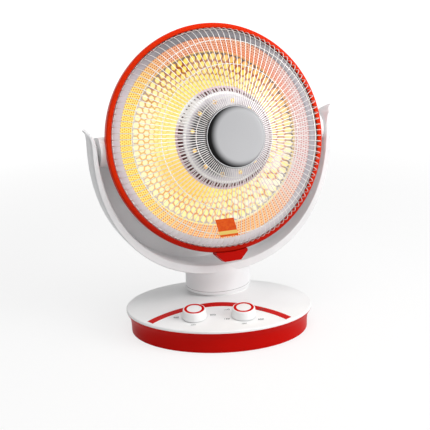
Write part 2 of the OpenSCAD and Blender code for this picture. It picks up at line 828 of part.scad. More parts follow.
module thermal_cutout() {
  color("black") in_head() translate([cutout_x, 0, shell_back + shell_wall + cutout_seat + 0.1]) {
    cylinder(d = 16, h = 6);
    translate([-11, -5, 2]) cube([22, 10, 2]);
  }
}

// Guard: every radial wire has a crown arc, a shoulder arc and a straight foot
crown_z = rim_ahead + guard_rise - crown_r;
foot_r = rim_r - rim_w - wire_d / 2 - 0.15;
shoulder_x = foot_r - shoulder_r;
shoulder_z = crown_z + sqrt(pow(crown_r - shoulder_r, 2) - pow(shoulder_x, 2));
bend_angle = acos(shoulder_x / (crown_r - shoulder_r));
foot_z = flange_z;
wire_sides = 16;
function crown_at(r) = crown_z + sqrt(pow(crown_r, 2) - pow(r, 2));

module radial_wire() {
  inner = acos((disc_r - 4) / crown_r);
  translate([0, 0, crown_z]) rotate([90, 0, 0]) rotate([0, 0, bend_angle])
    rotate_extrude(angle = inner - bend_angle, $fn = 96) translate([crown_r, 0]) circle(d = wire_d, $fn = wire_sides);
  translate([shoulder_x, 0, shoulder_z]) rotate([90, 0, 0])
    rotate_extrude(angle = bend_angle, $fn = 64) translate([shoulder_r, 0]) circle(d = wire_d, $fn = wire_sides);
  translate([foot_r, 0, foot_z]) cylinder(d = wire_d, h = shoulder_z - foot_z, $fn = wire_sides);
}

// Radial wires of one side of the guard, counted from the bottom
module guard_wires_from(first) {
  color(steel) in_head() for (k = [first:first + guard_wires / 2 - 1])
    rotate([0, 0, 360 * (k + 0.5) / guard_wires - 90]) radial_wire();
}

module guard_wires_right() { guard_wires_from(0); }

module guard_wires_left() { guard_wires_from(guard_wires / 2); }

guard_ring_radii = [disc_r + 14, disc_r + 64, rim_r - 32];

module guard_rings() {
  color(steel) in_head() {
    for (r = guard_ring_radii) rotate_extrude($fn = 128)
      translate([r, crown_at(r) - wire_d - 0.15]) circle(d = wire_d, $fn = wire_sides);
    rotate_extrude($fn = 128) translate([foot_r - wire_d - 0.1, foot_z + wire_d / 2]) circle(d = wire_d, $fn = wire_sides);
  }
}

// Middle disc: a low dome with a rounded shoulder inside a thin raised edge
disc_rise = 5;

module guard_disc() {
  z = crown_at(disc_r - 4) + wire_d / 2 + 0.05;
  color("lightgray") in_head() rotate_extrude($fn = 96) polygon([[0, z], [disc_r, z], [disc_r, z + 1.5],
    [disc_r - 0.5, z + 2], [disc_r - 1.2, z + 2], [disc_r - 1.7, z + 1.2], [disc_r - 2.4, z + 0.45 * disc_rise],
    [disc_r - 4, z + 0.66 * disc_rise], [disc_r - 7, z + 0.82 * disc_rise], [disc_r - 12, z + 0.91 * disc_rise],
    [disc_r / 2, z + 0.97 * disc_rise], [0, z + disc_rise]]);
}

tag_w = 23;
tag_h = 30;
tag_r = 139;
tag_turn = -8.5;
tag_skew = 21.5;

module heat_tag() {
  slope = asin(tag_r / crown_r);
  color("darkorange") in_head() rotate([0, 0, tag_turn]) translate([0, -tag_r, crown_at(tag_r) + wire_d / 2 + 0.6])
    rotate([slope, 0, 0]) rotate([0, 0, tag_skew]) translate([-tag_w / 2, -tag_h / 2, 0]) cube([tag_w, tag_h, 0.8]);
}

base_skirt();
base_cover();
base_plate();
ballast_plate();
foot_strip();
base_screws();
accent_stripe();
cord_gland();
terminal_block();
tilt_switch();
mode_switch();
heat_switch();
switch_nuts();
swivel_bush();
mode_knob();
mode_knob_ring();
mode_shaft();
heat_knob();
heat_knob_ring();
heat_shaft();
yoke();
swivel_spigot();
spigot_screws();
retaining_washer();
circlip();
pivot_bushes();
pivot_pins();
friction_washers();
rear_shell();
rim_ring();
rim_clip();
clip_screw();
reflector();
guard_wires_right();
guard_wires_left();
guard_rings();
guard_disc();
heat_tag();
shield_cup();
cup_post();
cup_nut();
carbon_lamp();
lamp_filament();
lamp_holders();
thermal_cutout();
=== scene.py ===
"""Tabletop dish heater: the finished model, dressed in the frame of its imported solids."""
from __future__ import annotations

import json
import logging
import math
from dataclasses import dataclass
from enum import Enum

import bmesh
import bpy
import numpy as np
from mathutils import Matrix, Vector

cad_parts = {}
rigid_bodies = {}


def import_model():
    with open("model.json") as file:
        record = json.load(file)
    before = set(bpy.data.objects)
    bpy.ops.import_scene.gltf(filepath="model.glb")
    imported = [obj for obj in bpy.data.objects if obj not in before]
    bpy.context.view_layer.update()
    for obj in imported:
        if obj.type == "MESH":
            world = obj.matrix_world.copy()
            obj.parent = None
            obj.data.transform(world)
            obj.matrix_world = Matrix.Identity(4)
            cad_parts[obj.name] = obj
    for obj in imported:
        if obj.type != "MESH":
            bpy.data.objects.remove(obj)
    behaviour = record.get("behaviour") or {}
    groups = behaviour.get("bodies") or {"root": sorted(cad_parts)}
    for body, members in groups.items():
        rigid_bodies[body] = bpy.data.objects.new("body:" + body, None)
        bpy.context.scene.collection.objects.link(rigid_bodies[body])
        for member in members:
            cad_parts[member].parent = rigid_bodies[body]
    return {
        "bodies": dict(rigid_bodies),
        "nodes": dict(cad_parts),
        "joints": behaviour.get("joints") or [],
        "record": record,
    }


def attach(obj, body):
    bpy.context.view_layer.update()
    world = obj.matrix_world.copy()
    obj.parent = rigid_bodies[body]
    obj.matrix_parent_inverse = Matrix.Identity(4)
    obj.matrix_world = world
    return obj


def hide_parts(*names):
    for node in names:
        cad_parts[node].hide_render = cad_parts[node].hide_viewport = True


log = logging.getLogger("heater")

Piece = bpy.types.Object
Material = bpy.types.Material
Inputs = dict[str | int, object]
Tone = tuple[float, float, float]
Point = tuple[float, float, float]

MM = 0.001
TURN = 2 * math.pi
WELD = 2e-6
SLIVER = 1e-7

# Sizes in millimetres that more than one piece follows
KNOB_X = 39.0
FLANGE_Z = 28.8
FLANGE_R = 161.0
STEP_R = 140.5
SHELL_R = 178.0
CUP_R = 81.0
CUP_Z = 56.5
GUARD_WIRES = 112
CROWN_R = 340.0
CROWN_Z = 28.0 + 79.0 - CROWN_R

# Places and angles at rest of the frames that pieces are built in, in millimetres and degrees
COLUMN_AT: Point = (0, 50, 0)
COLUMN_TURN = 20.5
HEAD_AT: Point = (0, 5, 306)
HEAD_TURN = 77.5
PANEL_Y = -56.0
PANEL_Z = 42.861
PANEL_TURN = 4.19847


# Places and frames

class Axis(Enum):
    """The axis that a turn goes about."""

    X = "x"
    Z = "z"


def turn(axis: Axis, degrees: float) -> np.ndarray:
    """Rotation matrix about one axis by the right-hand rule.

    Args:
        axis: the axis.
        degrees: the angle.

    Returns:
        A 3 by 3 matrix.
    """
    c, s = math.cos(math.radians(degrees)), math.sin(math.radians(degrees))
    if axis is Axis.X:
        return np.array([[1, 0, 0], [0, c, -s], [0, s, c]])
    return np.array([[c, -s, 0], [s, c, 0], [0, 0, 1]])


@dataclass(frozen=True)
class Place:
    """A local frame in millimetres: world = basis times local + origin."""

    basis: np.ndarray
    origin: np.ndarray

    def metres(self, local: np.ndarray) -> np.ndarray:
        """World points in metres of local points in millimetres."""
        return (local @ self.basis.T + self.origin) * MM

    def then(self, shift: Point, basis: np.ndarray) -> Place:
        """The frame inside this one that is shifted, then turned."""
        return Place(self.basis @ basis, self.basis @ np.array(shift, float) + self.origin)


# The column turns behind the base's middle, and the head looks along its own z axis from the tilt axis
WORLD = Place(np.eye(3), np.zeros(3))
COLUMN = WORLD.then(COLUMN_AT, turn(Axis.Z, COLUMN_TURN))
HEAD = COLUMN.then(HEAD_AT, turn(Axis.X, HEAD_TURN))


def panel(x: float) -> Place:
    """Frame on the sloped panel in front of the neck, z out of the panel."""
    return WORLD.then((x, PANEL_Y, PANEL_Z), turn(Axis.X, PANEL_TURN))


def crown_at(r: float) -> float:
    """Height of the guard's crown at a radius: an arc about a point on the head's axis."""
    return CROWN_Z + math.sqrt(CROWN_R ** 2 - r ** 2)


# Meshes

def grid_faces(rows: int, cols: int, wrap_rows: bool = False, wrap_cols: bool = False) -> np.ndarray:
    """Quads of a grid of points, with either direction closed on itself.

    Args:
        rows: number of rows.
        cols: number of columns.
        wrap_rows: whether the last row joins the first.
        wrap_cols: whether the last column joins the first.

    Returns:
        Index array with four columns.
    """
    i = np.arange(rows if wrap_rows else rows - 1)[:, None]
    j = np.arange(cols if wrap_cols else cols - 1)[None, :]
    below, right = (i + 1) % rows, (j + 1) % cols
    quads = np.stack([i * cols + j, i * cols + right, below * cols + right, below * cols + j], axis=-1)
    return quads.reshape(-1, 4)


def volume(points: np.ndarray, quads: np.ndarray) -> float:
    """Signed volume inside the quads: the sum of the tetrahedra from the middle to each triangle.

    Args:
        points: the corners.
        quads: index array with four columns.

    Returns:
        The volume, below 0 where the quads face inwards.
    """
    p = points - points.mean(axis=0)
    a, b, c, d = (p[quads[:, k]] for k in range(4))
    return float((np.cross(a, b) * c).sum() + (np.cross(a, c) * d).sum()) / 6


def linked(name: str, data: bpy.types.ID) -> Piece:
    """New object, linked to the scene.

    Args:
        name: the object's name.
        data: its mesh, text, camera or lamp.

    Returns:
        The object.
    """
    piece = bpy.data.objects.new(name, data)
    bpy.context.scene.collection.objects.link(piece)
    return piece


def store(items: bpy.types.bpy_prop_collection, key: str, numbers: np.ndarray,
          kind: type = np.float32) -> None:
    """Writes one property of all the items of a mesh."""
    items.foreach_set(key, numbers.astype(kind).ravel())


def make_piece(name: str, points: np.ndarray, quads: np.ndarray, uv: np.ndarray | None = None,
               weld: bool = False, **values: np.ndarray) -> Piece:
    """Object with a smooth mesh at the origin, its faces turned outwards.

    Args:
        name: the piece's name.
        points: world points in metres.
        quads: index array with four columns.
        uv: one pair per point of the quads' corners, or None.
        weld: whether points that coincide are merged, which closes poles and ends.
        values: one number per point for each named attribute.

    Returns:
        The object, linked to the scene.
    """
    if volume(points, quads) < 0:
        quads = quads[:, ::-1]
        if uv is not None:
            uv = uv[:, ::-1]
    mesh = bpy.data.meshes.new(name)
    mesh.vertices.add(len(points))
    mesh.loops.add(quads.size)
    mesh.polygons.add(len(quads))
    store(mesh.vertices, "co", points)
    store(mesh.loops, "vertex_index", quads, np.int32)
    store(mesh.polygons, "loop_start", np.arange(0, quads.size, 4), np.int32)
    store(mesh.polygons, "use_smooth", np.ones(len(quads)), bool)
    if uv is not None:
        store(mesh.uv_layers.new(name="UVMap").uv, "vector", uv)
    for key, numbers in values.items():
        store(mesh.attributes.new(key, "FLOAT", "POINT").data, "value", numbers)
    mesh.update(calc_edges=True)
    if weld:
        work = bmesh.new()
        work.from_mesh(mesh)
        bmesh.ops.remove_doubles(work, verts=work.verts, dist=WELD)
        bmesh.ops.dissolve_degenerate(work, edges=work.edges, dist=SLIVER)
        work.to_mesh(mesh)
        work.free()
    mesh.validate()
    return linked(name, mesh)


def rounded(corners: list[Point], steps: int, closed: bool = True) -> np.ndarray:
    """Profile with rounded corners: each is a quadratic curve between points cut from its two sides.

    Args:
        corners: radius, height and rounding of each corner.
        steps: points on each rounded corner.
        closed: whether the last corner joins the first.

    Returns:
        Points with two columns.
    """
    at = np.array([c[:2] for c in corners], float)
    cut = np.array([c[2] for c in corners], float)
    count = len(at)
    out = []
    for k in range(count):
        if cut[k] <= 0 or (not closed and k in (0, count - 1)):
            out.append(at[k][None, :])
            continue
        before, after = at[k - 1] - at[k], at[(k + 1) % count] - at[k]
        a, b = (at[k] + way / np.linalg.norm(way) * min(cut[k], 0.49 * np.linalg.norm(way))
                for way in (before, after))
        t = np.linspace(0, 1, steps)[:, None]
        out.append(a * (1 - t) ** 2 + 2 * at[k] * t * (1 - t) + b * t ** 2)
    return np.concatenate(out)


def arc(centre: tuple[float, float], r: float, angle: np.ndarray) -> np.ndarray:
    """Points of an arc in two columns: centre + r (cos a, sin a)."""
    return np.array(centre) + r * np.stack([np.cos(angle), np.sin(angle)], axis=-1)


def spun(r: np.ndarray, z: np.ndarray, angle: np.ndarray) -> np.ndarray:
    """Points (r cos a, r sin a, z) of radii, heights and angles whose shapes broadcast."""
    return np.stack(np.broadcast_arrays(r * np.cos(angle), r * np.sin(angle), z), axis=-1)


def revolved(name: str, profile: np.ndarray, place: Place, steps: int, closed: bool = True) -> Piece:
    """Solid of revolution about the local Z axis, spun from a profile.

    Args:
        name: the piece's name.
        profile: radius and height of each profile point.
        place: local frame.
        steps: facets round the axis.
        closed: whether the profile is a closed loop; an open one starts and ends on the axis.

    Returns:
        The object.
    """
    angle = np.arange(steps) * TURN / steps
    local = spun(profile[:, :1], profile[:, 1:], angle).reshape(-1, 3)
    quads = grid_faces(len(profile), steps, wrap_rows=closed, wrap_cols=True)
    return make_piece(name, place.metres(local), quads, weld=not closed)


def tube_points(path: np.ndarray, side: np.ndarray, radius: float, sides: int) -> np.ndarray:
    """Round tube along plane paths: path + radius (cos a n + sin a side), with n across path and side.

    Args:
        path: points, shape (wires, stations, 3).
        side: unit normal of each path's plane, shape (wires, 1, 3).
        radius: radius of the tube.
        sides: facets round the tube.

    Returns:
        Points, shape (wires, stations, sides, 3).
    """
    along = np.gradient(path, axis=1)
    along /= np.linalg.norm(along, axis=-1, keepdims=True)
    across = np.cross(np.broadcast_to(side, along.shape), along)
    angle = np.arange(sides) * TURN / sides
    ring = np.cos(angle)[:, None] * across[:, :, None, :] + np.sin(angle)[:, None] * side[:, :, None, :]
    return path[:, :, None, :] + radius * ring


# Materials

class Socket:
    """A value in a node tree. Operators between sockets and numbers add the math nodes that work them out."""

    def __init__(self, graph: Graph, out: bpy.types.NodeSocket) -> None:
        """Wraps one output of a node in a graph."""
        self.graph = graph
        self.out = out

    def _math(self, kind: str, *others: Value) -> Socket:
        """Result of a math node fed with this value and the others."""
        return self.graph.value("Math", dict(enumerate((self, *others))), operation=kind)

    def __add__(self, other: Value) -> Socket:
        """Sum."""
        return self._math("ADD", other)

    def __sub__(self, other: Value) -> Socket:
        """Difference."""
        return self._math("SUBTRACT", other)

    def __rsub__(self, other: float) -> Socket:
        """A number minus this value."""
        return self * -1.0 + other

    def __mul__(self, other: Value) -> Socket:
        """Product."""
        return self._math("MULTIPLY", other)

    def __truediv__(self, other: Value) -> Socket:
        """Quotient."""
        return self._math("DIVIDE", other)

    def __rtruediv__(self, other: float) -> Socket:
        """A number divided by this value."""
        return self.graph.value("Math", {0: other, 1: self}, operation="DIVIDE")

    __radd__ = __add__
    __rmul__ = __mul__

    def fract(self) -> Socket:
        """Part after the decimal point."""
        return self._math("FRACT")

    def floor(self) -> Socket:
        """Whole number below."""
        return self._math("FLOOR")

    def size(self) -> Socket:
        """Value without its sign."""
        return self._math("ABSOLUTE")

    def angle_from(self, x: Socket) -> Socket:
        """Angle of the point (x, this value) in radians."""
        return self._math("ARCTAN2", x)

    def most(self, other: Value) -> Socket:
        """Larger of two values."""
        return self._math("MAXIMUM", other)

    def root(self) -> Socket:
        """Square root."""
        return self._math("SQRT")

    def rise(self, low: float, high: float) -> Socket:
        """Smooth rise from 0 at low to 1 at high."""
        return self.graph.value("MapRange", {"Value": self, "From Min": low, "From Max": high},
                                interpolation_type="SMOOTHSTEP")

    def fall(self, low: float, high: float) -> Socket:
        """Smooth fall from 1 at low to 0 at high."""
        return 1.0 - self.rise(low, high)

    def band(self, start: tuple[float, float], end: tuple[float, float]) -> Socket:
        """Smooth rise over the start, and smooth fall over the end."""
        return self.rise(*start) * self.fall(*end)


Value = Socket | float


class Graph:
    """Node tree of a material or a world, with its output."""

    def __init__(self, tree: bpy.types.NodeTree, output: str = "OutputMaterial") -> None:
        """Empties the tree and adds its output.

        Args:
            tree: the node tree.
            output: its output node's type.
        """
        self.tree = tree
        tree.nodes.clear()
        self.output = self.node(output)

    def node(self, kind: str, sockets: Inputs | None = None, **settings: object) -> bpy.types.Node:
        """New shader node.

        Args:
            kind: its type, without the words that all types start with.
            sockets: values or links of its inputs, by name or number.
            settings: its properties, which are set first.

        Returns:
            The node.
        """
        made = self.tree.nodes.new("ShaderNode" + kind)
        for key, value in settings.items():
            setattr(made, key, value)
        for key, value in (sockets or {}).items():
            self.feed(made.inputs[key], value)
        return made

    def value(self, kind: str, sockets: Inputs | None = None, out: str | int = 0,
              **settings: object) -> Socket:
        """One output of a new node, which the other arguments describe as they do for node."""
        return Socket(self, self.node(kind, sockets, **settings).outputs[out])

    def feed(self, target: bpy.types.NodeSocket, value: object) -> None:
        """Links a socket to an input, or sets a plain number, colour or vector on it.

        Args:
            target: the input.
            value: the socket or the plain value.
        """
        if isinstance(value, Socket):
            self.tree.links.new(value.out, target)
        elif isinstance(value, tuple) and len(value) == 3 and len(target.default_value) == 4:
            target.default_value = (*value, 1.0)
        else:
            target.default_value = value

    def surface(self, shader: Socket) -> None:
        """Links a shader to the output."""
        self.feed(self.output.inputs[0], shader)

    def seen(self) -> Socket:
        """Tells the rays that are seen from those that only light.

        Returns:
            1 for rays that reach the camera, also by reflection or through glass, 0 for the others.
        """
        path = self.node("LightPath")
        camera, gloss, through = (Socket(self, path.outputs[f"Is {ray} Ray"])
                                  for ray in ("Camera", "Glossy", "Transmission"))
        return camera.most(gloss).most(through)


class Paint(Graph):
    """Node tree of one material, with its surface shader."""

    def __init__(self, name: str) -> None:
        """Starts a material with a Principled shader.

        Args:
            name: the material's name.
        """
        self.material = bpy.data.materials.new(name)
        self.material.use_nodes = True
        super().__init__(self.material.node_tree)
        self.shader = self.node("BsdfPrincipled")
        self.coat = Socket(self, self.shader.outputs[0])
        self.surface(self.coat)

    def set(self, **inputs: Value | Tone) -> None:
        """Sets inputs of the surface shader by name, with _ for a space."""
        for key, value in inputs.items():
            self.feed(self.shader.inputs[key.replace("_", " ")], value)

    def place(self) -> Socket:
        """Object coordinates."""
        return self.value("TexCoord", out="Object")

    def parts(self, vector: Socket) -> list[Socket]:
        """The three coordinates of a vector."""
        return [Socket(self, out) for out in self.node("SeparateXYZ", {0: vector}).outputs]

    def local(self, place: Place) -> list[Socket]:
        """Coordinates in a local frame.

        Args:
            place: the frame.

        Returns:
            x, y and z in millimetres.
        """
        inverse = place.basis.T
        return self.parts(self.value("Mapping", {
            "Vector": self.place(),
            "Scale": (1 / MM, 1 / MM, 1 / MM),
            "Location": tuple(-(inverse @ place.origin)),
            "Rotation": Matrix(inverse.tolist()).to_euler("XYZ"),
        }, vector_type="POINT"))

    def uv(self) -> list[Socket]:
        """The piece's own coordinates, of which the first two count."""
        return self.parts(self.value("UVMap"))

    def noise(self, scale: float, detail: float) -> Socket:
        """Cloudy value between 0 and 1, with its scale in cells per metre."""
        return self.value("TexNoise", {"Scale": scale, "Detail": detail, "Vector": self.place()})

    def mix(self, share: Value, low: Socket | Tone, high: Socket | Tone) -> Socket:
        """Colour between low and high."""
        return self.value("Mix", {0: share, 6: low, 7: high}, 2, data_type="RGBA")

    def bump(self, height: Socket, depth: float) -> None:
        """Raises the surface by height times depth, in metres."""
        self.set(Normal=self.value("Bump", {"Strength": 1.0, "Distance": depth, "Height": height}))

    def plastic(self, tone: Socket, roughness: Socket, gloss: float) -> None:
        """Moulded surface with a fine grain."""
        self.set(Base_Color=tone, Roughness=roughness, Specular_IOR_Level=gloss, IOR=1.5)
        self.bump(self.noise(1400, 2), 0.00002)


class HeadPoint:
    """Where a shaded point lies on the head in millimetres, seen from the front: x right, y up, z out."""

    def __init__(self, graph: Paint) -> None:
        """Works out the point's place, its radius and its way from the head's axis.

        Args:
            graph: the material's nodes.
        """
        self.x, self.y, self.z = graph.local(HEAD)
        self.radius = (self.x * self.x + self.y * self.y).root()
        self.across, self.up = self.x / self.radius, self.y / self.radius

    def toward(self, right: float, up: float) -> Socket:
        """How far the point's way from the axis agrees with a way to the right and up, from -1 to 1."""
        return (self.x * right + self.y * up) / self.radius

    def sector(self, count: int, shift: float = 0.0) -> Socket:
        """Place inside one of so many equal sectors round the axis, from -0.5 to 0.5."""
        return (self.y.angle_from(self.x) * (count / TURN) + shift).fract() - 0.5


def colour(red: float, green: float, blue: float) -> Tone:
    """Linear colour of display values from 0 to 255."""
    shares = (v / 255 for v in (red, green, blue))
    return tuple(v / 12.92 if v <= 0.04045 else ((v + 0.055) / 1.055) ** 2.4 for v in shares)


def scaled(tone: Tone, factor: float) -> Tone:
    """Colour made lighter or darker."""
    return tuple(min(1.0, c * factor) for c in tone)


@dataclass(frozen=True)
class Finish:
    """A surface finish, which makes a material of its own name."""

    name: str

    def material(self) -> Material:
        """Makes the finish's material.

        Returns:
            A new material.
        """
        graph = Paint(self.name)
        self.paint(graph)
        return graph.material

    def paint(self, graph: Paint) -> None:
        """Adds the finish to a new material.

        Args:
            graph: the material's nodes.
        """
        raise NotImplementedError


@dataclass(frozen=True)
class Moulded(Finish):
    """Moulded plastic: an even colour with faint clouding, a fine grain and a soft gloss."""

    tone: Tone
    roughness: float
    gloss: float = 0.5

    def paint(self, graph: Paint) -> None:
        """Adds clouds to the colour and the roughness.

        Args:
            graph: the material's nodes.
        """
        clouds = graph.noise(18, 4)
        graph.plastic(graph.mix(clouds.rise(0.3, 0.7), scaled(self.tone, 0.965), self.tone),
                      clouds * 0.08 + (self.roughness - 0.04), self.gloss)


@dataclass(frozen=True)
class Metal(Finish):
    """Bare or plated metal with faint streaks."""

    tone: Tone
    roughness: float
    metallic: float = 1.0
    streaks: float = 0.1

    def paint(self, graph: Paint) -> None:
        """Adds streaks to the colour, the roughness and the surface.

        Args:
            graph: the material's nodes.
        """
        marks = graph.noise(240, 5)
        least = self.roughness - self.streaks / 2
        graph.set(Base_Color=graph.mix(marks.rise(0.25, 0.75), scaled(self.tone, 0.9), self.tone),
                  Metallic=self.metallic, Roughness=marks * self.streaks + least)
        graph.bump(marks, 0.00001)


@dataclass(frozen=True)
class Dull(Finish):
    """Rubber, ceramic and other matt stuff with a speckled grain."""

    tone: Tone
    roughness: float

    def paint(self, graph: Paint) -> None:
        """Adds specks to the colour, the roughness and the surface.

        Args:
            graph: the material's nodes.
        """
        specks = graph.noise(900, 3)
        graph.set(Base_Color=graph.mix(specks.rise(0.35, 0.65), scaled(self.tone, 0.85), self.tone),
                  Roughness=specks * 0.15 + (self.roughness - 0.07))
        graph.bump(specks, 0.00004)


@dataclass(frozen=True)
class Quartz(Finish):
    """Clear quartz glass with a painted glow: warm colour and emission for the filament behind it."""

    name: str = "quartz_glass"
    low: Tone = (1.0, 0.86, 0.62)
    high: Tone = (1.0, 0.93, 0.8)
    glow: Tone = (1.0, 0.5, 0.12)

    def paint(self, graph: Paint) -> None:
        """Adds a faint ripple to the colour, and the painted glow.

        Args:
            graph: the material's nodes.
        """
        graph.set(Base_Color=graph.mix(graph.noise(90, 2), self.low, self.high), Roughness=0.06,
                  Alpha=0.35, Emission_Color=self.glow, Emission_Strength=0.35)


@dataclass(frozen=True)
class Ember(Finish):
    """Glowing carbon ribbon with hotter and cooler stretches."""

    name: str = "glowing_carbon"
    carbon: Tone = (0.05, 0.02, 0.01)
    cool: Tone = (1.0, 0.32, 0.04)
    hot: Tone = (1.0, 0.62, 0.2)

    def paint(self, graph: Paint) -> None:
        """Adds the glow.

        Args:
            graph: the material's nodes.
        """
        heat = graph.noise(260, 3).rise(0.3, 0.7)
        graph.set(Base_Color=self.carbon, Roughness=0.7,
                  Emission_Color=graph.mix(heat, self.cool, self.hot), Emission_Strength=1.6)


@dataclass(frozen=True)
class Compass:
    """Four shades of painted light on one surface in display values, as seen from the front of the head."""

    left: Tone
    top: Tone
    right: Tone
    bottom: Tone

    def blend(self, graph: Paint, at: HeadPoint) -> Socket:
        """Colour at a point: left and right by its share across, then top and bottom by its share up.

        Args:
            graph: the material's nodes.
            at: the point on the head.

        Returns:
            The colour.
        """
        sideways = graph.mix(at.across.rise(-0.8, 0.8), colour(*self.left), colour(*self.right))
        upright = graph.mix(at.up.rise(-0.6, 0.6), colour(*self.bottom), colour(*self.top))
        return graph.mix((at.up * at.up).rise(0.05, 0.95), sideways, upright)


@dataclass(frozen=True)
class LitReflector(Finish):
    """Pressed reflector sheet lit by the lamp: grey flange, orange fine mesh, yellow dish.

    Its shades are painted light, not the metal's own colour: a painted glow of the lamp on the dish and the
    fine zone, and painted reflections and shade that change with the side of the head. The piece's
    attribute "cell" gives the share of the way from a dimple's middle to its border, and "front" is 0 on
    its unlit back.
    """

    name: str = "lit_reflector"
    fine_around: float = 240.0
    fine_pitch: float = 3.6
    # Painted light: these shades stand for the lamp's glow and its reflections, lighter or darker by side of
    # the head
    fine: Compass = Compass((255, 236, 130), (236, 172, 138), (236, 216, 214), (250, 202, 146))
    dots: Compass = Compass((226, 142, 30), (186, 92, 62), (204, 142, 140), (222, 128, 74))
    middle: Compass = Compass((255, 250, 196), (255, 226, 104), (255, 238, 160), (255, 244, 160))
    border: Compass = Compass((236, 178, 96), (176, 88, 52), (206, 140, 132), (224, 140, 90))
    metal: Compass = Compass((214, 202, 208), (128, 126, 130), (168, 164, 170), (214, 208, 212))
    centre: Tone = colour(253, 238, 128)
    top_row_shadow: Tone = colour(150, 66, 34)
    haze: Tone = colour(255, 250, 222)
    amber: Tone = colour(255, 196, 92)
    glint: Tone = colour(255, 250, 240)
    step_shadow: Tone = colour(140, 64, 78)
    warm: Tone = colour(244, 134, 84)
    unlit: Tone = (0.0, 0.0, 0.0)
    strength: float = 0.9

    def dot(self, graph: Paint, at: HeadPoint) -> Socket:
        """Dots of the fine zone, whose rows are shifted by half a pitch in turn.

        Args:
            graph: the material's nodes.
            at: the point on the head.

        Returns:
            1 on a dot, 0 between them.
        """
        row = at.radius / self.fine_pitch
        u = (graph.uv()[0] * self.fine_around + row.floor() * 0.5).fract() - 0.5
        v = row.fract() - 0.5
        return (u * u + v * v).root().fall(0.16, 0.42)

    def dish(self, graph: Paint, at: HeadPoint, in_dish: Socket) -> Socket:
        """Dimpled dish: pale middles and orange borders, under painted light and shade by place on the head.

        Args:
            graph: the material's nodes.
            at: the point on the head.
            in_dish: 1 inside the step, 0 outside it.

        Returns:
            The shade.
        """
        radius = at.radius
        # Painted shadow in the top rows of the outer dish: wider and darker borders there
        shade_at_top = at.up.rise(0.2, 0.8) * radius.rise(104.0, 132.0)
        edge = (graph.value("Attribute", out="Fac", attribute_name="cell") + shade_at_top * 0.06).rise(0.62, 0.96)
        shade = graph.mix(edge, self.middle.blend(graph, at), self.border.blend(graph, at))
        # Painted light over the cells: shadow in the top rows, a paler glow towards the axis, an amber
        # reflection low on the left and glints low on the right
        for share, tint in (
                (edge * shade_at_top * 0.6, self.top_row_shadow),
                (graph.noise(34, 3).rise(0.35, 0.65) * 0.2, self.haze),
                (radius.fall(84.0, 112.0) * 0.7, self.centre),
                (at.toward(-0.66, -0.75).rise(0.7, 1.0) * radius.fall(88.0, 122.0) * 0.6, self.amber),
                (at.toward(0.6, -0.8).rise(0.55, 0.95) * radius.rise(92.0, 112.0)
                 * graph.noise(70, 2).rise(0.42, 0.62) * 0.7, self.glint)):
            shade = graph.mix(share, shade, tint)
        # Painted shadow on the step's lip, strongest up on the right
        rim = radius.rise(STEP_R - 3.0, STEP_R - 1.0) * in_dish
        shaded = at.toward(0.6, 0.8).rise(-0.4, 0.6) * 0.75 + 0.15
        return graph.mix(rim * (graph.noise(160, 2).rise(0.35, 0.6) * 0.5 + 0.4) * shaded, shade, self.step_shadow)

    def paint(self, graph: Paint) -> None:
        """Adds the painted glow of the dish and the fine zone, and the bare metal of the flange and the back
        with painted light and shade by side.

        Args:
            graph: the material's nodes.
        """
        at = HeadPoint(graph)
        radius = at.radius
        in_dish = radius.fall(STEP_R - 1.2, STEP_R + 0.2)
        on_flange = radius.rise(FLANGE_R - 0.8, FLANGE_R + 0.4)
        dot = self.dot(graph, at)
        fine = graph.mix(dot, self.fine.blend(graph, at), self.dots.blend(graph, at))
        lit = graph.mix(in_dish, fine, self.dish(graph, at, in_dish))
        # Painted glow: a warm band up on the right between the dish and the fine zone
        warmth = at.toward(0.7, 0.71).rise(0.7, 0.98) * radius.band((118.0, 138.0), (144.0, 157.0)) * 0.5
        lit = graph.mix(warmth, lit, self.warm)
        bare = on_flange.most(1.0 - graph.value("Attribute", out="Fac", attribute_name="front"))
        # Painted glow: the lit shades are given as emission, and the flange and the back as metal with
        # painted light by side
        graph.set(Base_Color=graph.mix(bare, graph.mix(0.8, lit, self.unlit), self.metal.blend(graph, at)),
                  Metallic=on_flange * 0.15, Roughness=0.5, Specular_IOR_Level=0.15,
                  Emission_Color=graph.mix(bare, lit, self.unlit), Emission_Strength=self.strength)
        graph.bump(dot * (1.0 - on_flange) * (1.0 - in_dish), 0.0006)


